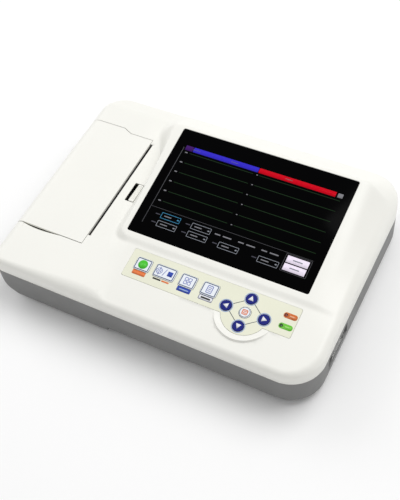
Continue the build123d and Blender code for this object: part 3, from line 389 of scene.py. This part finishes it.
def make(name, verts, faces, material, body, sharp=35.0):
    """A mesh piece from points in mm, smooth except at its sharp edges, riding on a body."""
    mesh = bpy.data.meshes.new(name)
    mesh.from_pydata([Vector(v) * MM for v in verts], [], faces)
    mesh.materials.append(material)
    mesh.validate()
    mesh.polygons.foreach_set("use_smooth", [True] * len(mesh.polygons))
    mesh.set_sharp_from_angle(angle=radians(sharp))
    piece = bpy.data.objects.new(name, mesh)
    bpy.context.scene.collection.objects.link(piece)
    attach(piece, body)
    return piece


def thicken(piece, depth):
    """Gives an open surface a wall, inward from its face."""
    solidify = piece.modifiers.new("wall", "SOLIDIFY")
    solidify.thickness = depth * MM
    solidify.offset = -1.0


# ---------------------------------------------------------------- casing: outline and top surface
DOOR_FRONT, DOOR_BACK = DOOR_LOW.y - GAP, DOOR_HIGH.y + GAP


def casing_outline():
    """The casing seen from above, counterclockwise from the front left, a different round at each corner."""
    front_left, front_right, back_right, back_left = CORNERS
    loop = straight((LEFT + front_left, FRONT), (RIGHT - front_right, FRONT), 5)
    loop += arc((RIGHT - front_right, FRONT), (RIGHT, FRONT + front_right), (1, 0), 18)
    loop += straight((RIGHT, FRONT + front_right), (RIGHT, BACK - back_right), 6)
    loop += arc((RIGHT, BACK - back_right), (RIGHT - back_right, BACK), (0, 1), 20)
    loop += straight((RIGHT - back_right, BACK), (LEFT + back_left, BACK), 6)
    loop += arc((LEFT + back_left, BACK), (LEFT, BACK - back_left), (-1, 0), 16)
    loop += straight((LEFT, BACK - back_left), (LEFT, DOOR_BACK), 6)
    loop += straight((LEFT, DOOR_BACK), (LEFT, DOOR_FRONT), 6)
    loop += straight((LEFT, DOOR_FRONT), (LEFT, FRONT + front_left), 6)
    loop += arc((LEFT, FRONT + front_left), (LEFT + front_left, FRONT), (0, -1), 14)
    return loop


def front_radius(x):
    """Round of the front edge: it widens towards the end of the printer deck, then is tight again."""
    return 4.2 + 5.6 * smooth((x + 140) / 85) * (1 - smooth((x + 50) / 16))


def edge_radius(normal, x):
    """Round of the top edge: widest along the left wall, tight in front and behind."""
    nx, ny = normal
    across = 12.0 if nx < 0 else 7.5
    return across * nx * nx + (front_radius(x) if ny < 0 else 5.0) * ny * ny


def slope_behind(y, start_y, start_z):
    return start_z + (y - start_y) * (LIP_Z - start_z) / (BACK - start_y)


def deck_height(y):
    top = DECK_Z + y * tan(DECK_TILT)
    return soft_low(top, slope_behind(y, DECK_BACK_Y, DECK_Z + DECK_BACK_Y * tan(DECK_TILT)), 2.0)


def screen_height(y):
    top = GLASS_Z + (y - GLASS_Y) * tan(SCREEN_TILT)
    ridge = GLASS_Z + (RIDGE_Y - GLASS_Y) * tan(SCREEN_TILT)
    return soft_low(top, slope_behind(y, RIDGE_Y, ridge), 2.2)


def keypad_height(y):
    return KEYPAD_Z + (y - KEYPAD_Y) * tan(KEYPAD_TILT)


def right_height(y):
    top = soft_low(keypad_height(y), RIGHT_EDGE_Z, 1.5)
    return soft_low(top, slope_behind(y, DECK_BACK_Y, RIGHT_EDGE_Z), 1.5)


def plateau(x, y):
    """How far a point has climbed from the deck or the keypad face to the screen's rim, 0 to 1."""
    left = -51.7 - 4.9 * smooth((y + 42) / 112)
    foot = -62.4 - 20 * smooth((y - 35) / 45)
    outside_left, outside_front = left - x, RIM_FRONT_Y - y
    across, along = outside_left + 8.0, outside_front + 8.0
    left_width, front_width = left - foot, 6.0
    if across > 0 and along > 0:
        out = hypot(across, along) - 8.0
        share = across * across / (across * across + along * along)
        width = share * left_width + (1 - share) * front_width
    else:
        out = max(outside_left, outside_front)
        width = left_width if outside_left > outside_front else front_width
    return 1 - smooth(out / width)


PAD_CENTRE = Vector((GLASS_LOW.x + 128.7, KEYPAD_Y - 21.1 * cos(KEYPAD_TILT)))
LIP_R = 25.4
LIP_H = 1.9


def pad_lip(x, y):
    """The crescent lip in front of the arrow keys."""
    dx, dy = x - PAD_CENTRE.x, y - PAD_CENTRE.y
    away = hypot(dx, dy)
    if away < 20.4 or away > LIP_R + 0.8:
        return 0.0
    facing = smooth((-dy / away - 0.12) / 0.75)
    if away < LIP_R:
        return LIP_H * facing * smooth((away - 20.4) / (LIP_R - 19.8))
    return LIP_H * facing * (1 - smooth((away - LIP_R) / 0.7))


SCOOP = (LEFT + 8.5, -101.0)                        # finger recess in front of the door, from x to x
SCOOP_WIDTH, SCOOP_DEPTH = 3.2, 3.0


def scoop(x, y):
    """The finger recess, deepest at the door's front edge and running out towards the front."""
    t = (x - SCOOP[0]) / (SCOOP[1] - SCOOP[0])
    if not 0 < t < 1:
        return 0.0
    spread = sin(pi * t ** 0.75)
    away = (DOOR_FRONT - y) / (SCOOP_WIDTH * spread)
    return SCOOP_DEPTH * spread * (1 - smooth(away)) if away > -0.5 and y < DOOR_FRONT + 1 else 0.0


def surface(x, y):
    """Height of the casing's top before its edges are rounded."""
    far = smooth((y + 95) / 40)
    ramp_start, ramp_end = -43.4 - 17 * far, -32.4 - 6 * far
    to_keypad = smooth((x - ramp_start) / (ramp_end - ramp_start)) * (1 - smooth((y - RIM_FRONT_Y) / 12))
    low = deck_height(y) + (keypad_height(y) - deck_height(y)) * to_keypad
    high = low + (screen_height(y) - low) * plateau(x, y)
    right = -soft_low(-(x - RIGHT_RIM) / (RIGHT - RIGHT_RIM), 0.0, 0.25)
    return high + (right_height(y) - high) * min(max(right, 0.0), 1.0) + pad_lip(x, y) - scoop(x, y)


# ---------------------------------------------------------------- casing: openings
def tilted_loop(loop, at_y, tilt):
    """A loop drawn on a tilted face, seen from above."""
    return [Vector((GLASS_LOW.x + p[0], at_y + p[1] * cos(tilt))) for p in loop]


OVERLAY_UV, OVERLAY_SIZE, OVERLAY_CORNER_R, BULGE_R = (93.45, -14.75), (154.9, 27.1), 1.5, 20.0
PAD_UV = (128.7, -21.1)


def overlay_loop(grow):
    """The keypad overlay's outline: a strip whose front edge bulges round the arrow keys."""
    low = OVERLAY_UV[1] - OVERLAY_SIZE[1] / 2 - grow
    radius = BULGE_R + grow
    reach = sqrt(radius ** 2 - (low - PAD_UV[1]) ** 2)
    size = (OVERLAY_SIZE[0] + 2 * grow, OVERLAY_SIZE[1] + 2 * grow)
    strip = rounded(OVERLAY_UV, *size, OVERLAY_CORNER_R)
    first = atan2(low - PAD_UV[1], -reach)
    bulge = circle(PAD_UV, radius, 24, first, 2 * (-pi / 2 - first)) + [Vector((PAD_UV[0] + reach, low))]
    top_left, rest = strip[-6:], strip[:-6]
    return top_left + bulge + rest


def door_opening():
    """The door's opening, clockwise from its back right corner, open at the left wall."""
    right = DOOR_HIGH.x + GAP * 0.6
    step_back = DOOR_BACK - 4.0
    loop = [Vector((LEFT - 3, DOOR_FRONT)), Vector((LEFT, DOOR_FRONT))]
    loop += straight((SCOOP[0], DOOR_FRONT), (SCOOP[1], DOOR_FRONT), 2)
    loop += [Vector((right, DOOR_FRONT)), Vector((right, step_back)), Vector((-105.4, step_back)),
             Vector((-114.4, DOOR_BACK)), Vector((LEFT, DOOR_BACK)), Vector((LEFT - 3, DOOR_BACK))]
    return loop


SLOT_X = DOOR_HIGH.x
GLASS_HOLE = tilted_loop(rounded((GLASS_SIZE[0] / 2, GLASS_SIZE[1] / 2), GLASS_SIZE[0] + 0.5,
                                 GLASS_SIZE[1] + 0.5, 1.7), GLASS_Y, SCREEN_TILT)
OVERLAY_HOLE = tilted_loop(overlay_loop(0.15), KEYPAD_Y, KEYPAD_TILT)
LATCH_SIZE, LATCH_TRAVEL = (5.0, 20.4), 3.4
LATCH_HOLE = rounded((LATCH_LEFT + (LATCH_SIZE[0] - LATCH_TRAVEL) / 2, 0),
                     LATCH_SIZE[0] + LATCH_TRAVEL + 0.8, LATCH_SIZE[1] + 0.8, 0.8)
SLOT_HALF = 57.5
SLOT_HOLE = rounded((SLOT_X + 1.3, 0), 3.6, 2 * SLOT_HALF, 0.4, 2)
DOOR_HOLE = door_opening()


def steps(*zones):
    """Positions along one axis: zones of (start, end, step), one after another."""
    places = []
    for start, end, step in zones:
        count = max(1, round((end - start) / step))
        places += [start + (end - start) * k / count for k in range(count)]
    return places


EDGE_SHARES = (0.035, 0.12, 0.26, 0.44, 0.66, 0.88, 1.0)    # of the edge radius, one ring of points each
ON_EDGE = 0.002                                    # a point this near the outline belongs to it


def upper_casing():
    """The white top of the casing as one moulded skin."""
    loop = casing_outline()
    flat = [tuple(p) for p in loop]
    normals = []
    for k in range(len(loop)):
        along = (loop[(k + 1) % len(loop)] - loop[k - 1]).normalized()
        normals.append((along.y, -along.x))
    rings = []
    for share in EDGE_SHARES:
        rings.append([p - Vector(n) * edge_radius(n, p.x) * share for p, n in zip(loop, normals)])
    openings = [GLASS_HOLE, LATCH_HOLE, OVERLAY_HOLE, DOOR_HOLE, SLOT_HOLE]
    rounds = {0: 0.5, 1: 0.4, 2: 0.25, 3: 0.5}
    for k, radius in rounds.items():
        rings += [grown(openings[k], radius * share) for share in (0.15, 0.5, 1.0)]
    xs = steps((LEFT + 4, -84, 4), (-84, -64, 2), (-64, -48, 1.0), (-48, -30, 1.6), (-30, 120, 4),
               (120, 136, 1.3), (136, RIGHT - 2, 3))
    ys = steps((FRONT + 3, -56, 2.5), (-56, -44, 0.9), (-44, 64, 4), (64, 82, 1.3), (82, 94, 1.3),
               (94, BACK - 2, 3))
    inner = [tuple(p) for p in rings[6]]
    points = [Vector((x, y)) for x in xs for y in ys if inside(x, y, inner)]
    for step in (-4.2, -2.8, -1.6, -0.8, 0.0, 0.18, 0.36, 0.54, 0.8):
        points += circle(PAD_CENTRE, LIP_R + step, 100, pi, pi)
    for step in (0.5, 0.9, 1.4, 1.9, 2.5, 3.1, 3.8):
        points += straight((SCOOP[0], DOOR_FRONT - step), (SCOOP[1], DOOR_FRONT - step), 1.5)
    verts, faces = triangulate(loop, openings, rings, points)
    near_openings = [([tuple(p) for p in openings[k]], radius) for k, radius in rounds.items()]
    inner_box = [tuple(p) for p in rings[5]]
    shaped = []
    on_edge = {}
    for k, vert in enumerate(verts):
        x, y = vert
        z = surface(x, y)
        if not inside(x, y, inner_box):
            away, normal = nearest(x, y, flat)
            radius = edge_radius(normal, x)
            if away < radius:
                z -= radius - sqrt(max(radius ** 2 - (radius - away) ** 2, 0.0))
            if away < ON_EDGE:
                on_edge[k] = True
        for hole, radius in near_openings:
            away, _ = nearest(x, y, hole)
            if away < radius:
                z -= radius - sqrt(max(radius ** 2 - (radius - away) ** 2, 0.0))
        shaped.append((x, y, z))
    return shaped, faces, on_edge


def add_walls(verts, faces, on_edge):
    """Outer walls from the top surface's edge down to the seam, and the sill under the door."""
    bottom = SEAM_Z + 0.25
    counts = {}
    for face in faces:
        for a, b in zip(face, face[1:] + face[:1]):
            counts[(a, b)] = True
    rim = [(a, b) for a, b in counts if (b, a) not in counts and a in on_edge and b in on_edge]
    index = {}

    def column(x, y, z):
        key = (round(x, 3), round(y, 3), round(z, 3))
        if key not in index:
            verts.append((x, y, z))
            index[key] = len(verts) - 1
        return index[key]

    for a, b in rim:
        (ax, ay, _), (bx, by, _) = verts[a], verts[b]
        sill_a, sill_b = column(ax, ay, DOOR_SILL_Z), column(bx, by, DOOR_SILL_Z)
        faces.append([b, a, sill_a, sill_b])
        faces.append([sill_b, sill_a, column(ax, ay, bottom), column(bx, by, bottom)])
    span = straight((LEFT, DOOR_BACK), (LEFT, DOOR_FRONT), 6) + [Vector((LEFT, DOOR_FRONT))]
    for p, q in zip(span, span[1:]):
        faces.append([column(*q, DOOR_SILL_Z), column(*p, DOOR_SILL_Z),
                      column(*p, bottom), column(*q, bottom)])


top_verts, top_faces, edge_verts = upper_casing()
add_walls(top_verts, top_faces, edge_verts)
casing_top = make("casing_top", top_verts, top_faces, MATERIALS["white_casing"], "casing", 40)
thicken(casing_top, WALL - 0.4)
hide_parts("upper_shell")


# ---------------------------------------------------------------- printed and lit areas
def face_plane(at_y, at_z, tilt):
    """A function from a place (u, v, up) on a tilted face to its point in space."""
    def place(u, v, up):
        return (GLASS_LOW.x + u, at_y + v * cos(tilt) - up * sin(tilt), at_z + v * sin(tilt) + up * cos(tilt))
    return place


ON_GLASS = face_plane(GLASS_Y, GLASS_Z, SCREEN_TILT)
ON_KEYPAD = face_plane(KEYPAD_Y, KEYPAD_Z, KEYPAD_TILT)
FILM = 0.06


class Print:
    """Areas of one ink on one face, made into one thin piece."""

    def __init__(self):
        self.verts, self.faces = [], []

    def area(self, outer, holes=()):
        verts, faces = triangulate(outer, holes)
        start = len(self.verts)
        self.verts += verts
        self.faces += [[i + start for i in face] for face in faces]
        return self

    def disc(self, centre, radius, hole=0.0):
        return self.area(circle(centre, radius), [circle(centre, hole)] if hole else ())

    def bar(self, centre, width, height, radius=0.3):
        return self.area(rounded(centre, width, height, radius, 3))

    def frame(self, centre, width, height, line, radius=0.6):
        inner = rounded(centre, width - 2 * line, height - 2 * line, max(radius - line, 0.1), 3)
        return self.area(rounded(centre, width, height, radius, 3), [inner])

    def line(self, start, end, width):
        start, end = Vector(start), Vector(end)
        along = (end - start).normalized()
        side = Vector((-along.y, along.x)) * width / 2
        return self.area([start - side, end - side, end + side, start + side])

    def done(self, name, place, up, material, body, slot):
        points = [place(v.x, v.y, up) for v in self.verts]
        piece = make(name, points, self.faces, material, body)
        thicken(piece, FILM * 0.8)
        return piece


# ---------------------------------------------------------------- the picture on the display
PANEL = (8.5, 11.2, 162.6, 100.3)                   # lit area on the glass: u, v, u, v
FIELD_TOP, TRACE_PITCH = 28.9, 10.7                # line above the fields; spacing of the traces


def display_picture():
    """Title bars, twelve flat traces, setting fields and two buttons, as printed light."""
    middle = ((PANEL[0] + PANEL[2]) / 2, (PANEL[1] + PANEL[3]) / 2)
    Print().bar(middle, PANEL[2] - PANEL[0], PANEL[3] - PANEL[1], 0.4).done(
        "display_area", ON_GLASS, FILM * 0.5, LIGHTS["panel"], "casing", "screen_glass")
    bar_v = PANEL[3] - 5.6
    show = {name: Print() for name in LIGHTS}
    show["purple"].bar((14.4, bar_v), 7.4, 5.0, 0.2)
    show["title_blue"].bar((51.0, bar_v), 64.4, 5.0, 0.2)
    show["title_red"].bar((119.6, bar_v), 71.6, 5.0, 0.2)
    show["label"].bar((159.4, bar_v), 4.6, 4.2, 0.3)
    for start in (22, 60, 112):
        show["label"].bar((start, bar_v), 7.0, 0.9, 0.3)
    show["frame"].line((9.0, PANEL[1]), (9.0, bar_v), 0.5)
    show["frame"].line((9.5, FIELD_TOP), (162.0, FIELD_TOP), 0.3)
    for row in range(6):
        v = bar_v - 5.0 - row * TRACE_PITCH
        show["trace"].line((17.0, v), (80.0, v), 0.5)
        show["trace"].line((86.0, v), (161.0, v), 0.5)
        show["label"].bar((13.6, v), 2.6, 1.1, 0.4)
        show["label"].bar((84.0, v), 1.4, 0.9, 0.4)
    upper_v, lower_v = FIELD_TOP - 5.7, FIELD_TOP - 14.1
    columns = [31.4 + 29.7 * k for k in range(3)]
    fields = [(u, upper_v) for u in columns[:2]] + [(u, lower_v) for u in (*columns, 127.4)]
    for k, (u, v) in enumerate(fields):
        tint = "field_blue" if k == 0 else "field"
        show[tint].frame((u, v), 18.6, 5.9, 0.42)
        show["label"].bar((u - 2.8, v), 7.0, 0.9, 0.3)
        show[tint].bar((u + 7.2, v), 1.8, 1.1, 0.3)
        show["dim"].bar((u - 12.6, v), 4.4, 0.9, 0.3)
    for u in (77.0, 99.0, 120.5):
        show["label"].bar((u, upper_v), 5.2, 1.1, 0.3).bar((u + 9.0, upper_v), 8.0, 1.1, 0.3)
    button_u, button_vs = 150.5, (FIELD_TOP - 5.3, FIELD_TOP - 12.8)
    for v in button_vs:
        show["button"].bar((button_u, v), 19.4, 6.5, 0.3)
    show["frame"].frame((button_u, sum(button_vs) / 2), 23.0, 16.6, 0.35)
    for name, area in show.items():
        if area.verts:
            area.done(f"display_{name}", ON_GLASS, FILM * 1.5, LIGHTS[name], "casing", "screen_glass")
    for k, v in enumerate(button_vs):
        Print().bar((button_u, v), 8.6, 1.0, 0.3).done(
            f"display_button_mark_{k}", ON_GLASS, FILM * 2.5, LIGHTS["field"], "casing", "screen_glass")


display_picture()


# ---------------------------------------------------------------- keypad prints
ROW_V = -13.4
KEY_TOP = 0.7
LABEL_V = ROW_V - 8.4
KEY_U = {"key_power": 29.8, "key_start_stop": 51.0, "key_mode": 72.8, "key_print": 93.2}
KEY_W = {"key_power": 14.4, "key_start_stop": 19.6, "key_mode": 14.4, "key_print": 14.4}
ARROW_STEP = (16.9, 13.0)
ARROWS = {"key_up": (0, 1), "key_down": (0, -1), "key_left": (-1, 0), "key_right": (1, 0)}
LAMPS = {"amber": (160.2, -10.5), "leaf": (160.0, -20.3)}


def on_key(area, name, part, ink, up=0.0):
    """A print on one key, moving with it."""
    area.done(f"{name}_{part}", ON_KEYPAD, KEY_TOP + FILM + up, INKS[ink], name, "key_white")


def on_overlay(area, name, ink, up=0.0):
    area.done(name, ON_KEYPAD, FILM + up, INKS[ink], "casing", "overlay")


def row_key_prints():
    for name, u in KEY_U.items():
        on_key(Print().frame((u, ROW_V), KEY_W[name] - 1.0, 11.0, 0.8, 1.2), name, "outline", "outline")
    u = KEY_U["key_power"]
    on_key(Print().disc((u, ROW_V), 4.3), "key_power", "disc", "green")
    on_overlay(Print().bar((u, LABEL_V), 12.4, 4.2, 0.8), "label_power", "orange")
    u = KEY_U["key_start_stop"]
    icon = Print().disc((u - 5.3, ROW_V), 2.9, 2.45)
    icon.line((u - 5.3, ROW_V - 3.8), (u - 5.3, ROW_V + 3.8), 0.5)
    for across in (-6.6, -4.0):
        icon.line((u + across, ROW_V - 1.4), (u + across, ROW_V + 1.4), 0.5)
    icon.line((u - 1.2, ROW_V - 3.4), (u + 0.8, ROW_V + 3.4), 0.5)
    icon.bar((u + 5.0, ROW_V), 4.6, 4.6, 0.2)
    on_key(icon, "key_start_stop", "icon", "blue")
    on_overlay(Print().bar((u - 4.2, LABEL_V + 0.6), 7.6, 1.5, 0.4), "label_start", "black")
    on_overlay(Print().bar((u + 3.9, LABEL_V + 0.6), 7.0, 1.5, 0.4), "label_stop", "orange")
    u = KEY_U["key_mode"]
    icon = Print()
    for across in (-1, 1):
        for down in (-1, 1):
            icon.frame((u + 1.75 * across, ROW_V + 1.75 * down), 3.1, 3.1, 0.5, 0.7)
    on_key(icon, "key_mode", "icon", "blue")
    on_overlay(Print().bar((u, LABEL_V), 12.6, 4.4, 0.8), "label_mode", "blue")
    on_overlay(Print().bar((u, LABEL_V), 8.4, 1.1, 0.4), "label_mode_mark", "pale_blue", FILM)
    u = KEY_U["key_print"]
    icon = Print().frame((u, ROW_V), 5.2, 7.2, 0.6, 0.9)
    for k in (-1, 0, 1):
        icon.bar((u, ROW_V + 1.6 * k), 3.0, 0.55, 0.2)
    on_key(icon, "key_print", "icon", "blue")
    on_overlay(Print().bar((u, LABEL_V), 12.6, 4.4, 0.8), "label_print", "white")
    on_overlay(Print().frame((u, LABEL_V), 12.6, 4.4, 0.35, 0.8), "label_print_frame", "navy", FILM)
    on_overlay(Print().bar((u, LABEL_V), 8.6, 1.5, 0.4), "label_print_mark", "black", FILM)


def arrow_prints():
    centre = Vector(PAD_UV)
    places = {name: centre + Vector((across * ARROW_STEP[0], down * ARROW_STEP[1]))
              for name, (across, down) in ARROWS.items()}
    halo, lines = Print(), Print()
    for name, (across, down) in ARROWS.items():
        at = places[name]
        way = Vector((across, down))
        side = Vector((-way.y, way.x))
        tip = [at + way * 2.7, at - way * 1.7 + side * 2.4, at - way * 1.7 - side * 2.4]
        on_key(Print().area(tip), name, "arrow", "white")
        halo.disc(at, 5.9, 5.2)
    order = ["key_up", "key_left", "key_down", "key_right"]
    for a, b in zip(order, order[1:] + order[:1]):
        along = (places[b] - places[a]).normalized()
        lines.line(places[a] + along * 6.0, places[b] - along * 6.0, 0.6)
    on_overlay(halo, "arrow_halos", "pale_blue")
    on_overlay(lines, "arrow_links", "line")
    on_key(Print().disc(centre, 4.6, 4.1), "key_menu", "ring", "line")
    icon = Print().frame(centre, 5.0, 4.8, 0.8, 0.9)
    icon.bar(centre + Vector((0, 0.75)), 3.0, 0.8, 0.2).bar(centre - Vector((0, 0.75)), 3.0, 0.8, 0.2)
    on_key(icon, "key_menu", "icon", "orange")


def lamp_tags():
    """Coloured tags beside the mains and battery lamps, cut out round each lamp."""
    for ink, (u, v) in LAMPS.items():
        tag = rounded((u + 3.9, v), 11.8, 5.0, 2.2, 5)
        on_overlay(Print().area(tag, [circle((u, v), 1.55, 20)]), f"lamp_tag_{ink}", ink)
        on_overlay(Print().bar((u + 5.2, v), 4.2, 1.3, 0.4), f"lamp_tag_mark_{ink}", f"{ink}_pale", FILM)


row_key_prints()
arrow_prints()
lamp_tags()


# ---------------------------------------------------------------- spring of the release button
SPRING_WIRE, SPRING_TURNS = 0.3, 5                 # wire radius and number of turns


def release_spring():
    """A coil between the head bracket and the button's tab, as long as the frame's spring; nothing here
    presses it together as the button slides.
    """
    low, high = corners("latch_spring")
    around, per_turn = 10, 24
    middle_y, middle_z = (low.y + high.y) / 2, (low.z + high.z) / 2
    radius = (high.z - low.z) / 2 - SPRING_WIRE
    start, end = low.x + SPRING_WIRE, high.x - SPRING_WIRE
    count = SPRING_TURNS * per_turn
    verts = []
    for k in range(count + 1):
        turn = 2 * pi * SPRING_TURNS * k / count
        x = start + (end - start) * k / count
        outward = Vector((0, cos(turn), sin(turn)))
        for j in range(around):
            angle = 2 * pi * j / around
            spoke = outward * cos(angle) + Vector((1, 0, 0)) * sin(angle)
            verts.append(Vector((x, middle_y, middle_z)) + outward * radius + spoke * SPRING_WIRE)
    faces = [[k * around + j, (k + 1) * around + j,
              (k + 1) * around + (j + 1) % around, k * around + (j + 1) % around]
             for k in range(count) for j in range(around)]
    faces += [list(range(around)), [count * around + j for j in range(around)][::-1]]
    spring = make("release_spring", verts, faces, MATERIALS["steel"], "casing")
    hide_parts("latch_spring")
    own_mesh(spring)


release_spring()

for name, node in frame["nodes"].items():
    slot = next(row["material_slot"] for row in frame["record"]["subparts"] if row["node"] == name)
    node.data.materials.clear()
    node.data.materials.append(MATERIALS[slot])


# ---------------------------------------------------------------- floor, light and camera
FLOOR_HALF = 6                                     # metres from the middle to each side
SKY = 0.50                                         # strength of the even light from all round
LIGHTS = {                                         # where in metres, size in metres, power in watts
    "key": ((0.6, 0.8, 1.9), 1.5, 26),
    "left": ((-1.6, 0.5, 1.2), 1.4, 10),
    "front": ((-0.9, -1.5, 0.8), 1.4, 1.2),
}


def studio():
    """A plain pale floor under a large soft light and two fills."""
    mesh = bpy.data.meshes.new("floor")
    half = FLOOR_HALF
    mesh.from_pydata([(-half, -half, 0), (half, -half, 0), (half, half, 0), (-half, half, 0)],
                     [], [(0, 1, 2, 3)])
    floor = bpy.data.objects.new("floor", mesh)
    finish = Shader("floor", 0.8, specular=0.1)
    finish.colour((0.96, 0.96, 0.96), (0.95, 0.95, 0.95), finish.noise(2))
    mesh.materials.append(finish.material)
    bpy.context.scene.collection.objects.link(floor)
    world = bpy.data.worlds.new("studio")
    world.use_nodes = True
    world.node_tree.nodes["Background"].inputs["Color"].default_value = (1, 1, 1, 1)
    world.node_tree.nodes["Background"].inputs["Strength"].default_value = SKY
    bpy.context.scene.world = world
    for name, (at, size, power) in LIGHTS.items():
        light = bpy.data.lights.new(name, "AREA")
        light.size = size
        light.energy = power
        lamp = bpy.data.objects.new(name, light)
        lamp.location = at
        lamp.rotation_euler = (-Vector(at)).to_track_quat("-Z", "Y").to_euler()
        bpy.context.scene.collection.objects.link(lamp)
    bpy.context.scene.view_settings.view_transform = "Standard"


def camera():
    """A long lens above the front right corner, turned a little about its own axis."""
    data = bpy.data.cameras.new("camera")
    data.sensor_fit = "VERTICAL"
    data.sensor_height = 36.0
    data.lens = 61.07
    data.clip_start = 0.01
    item = bpy.data.objects.new("camera", data)
    axes = Matrix(((0.88579, 0.45628, -0.08485), (-0.31803, 0.72992, 0.60503), (0.33799, -0.50895, 0.79167)))
    item.matrix_world = Matrix.Translation((0.2630, -0.4022, 0.6275)) @ axes.transposed().to_4x4()
    bpy.context.scene.collection.objects.link(item)
    bpy.context.scene.camera = item


studio()
camera()
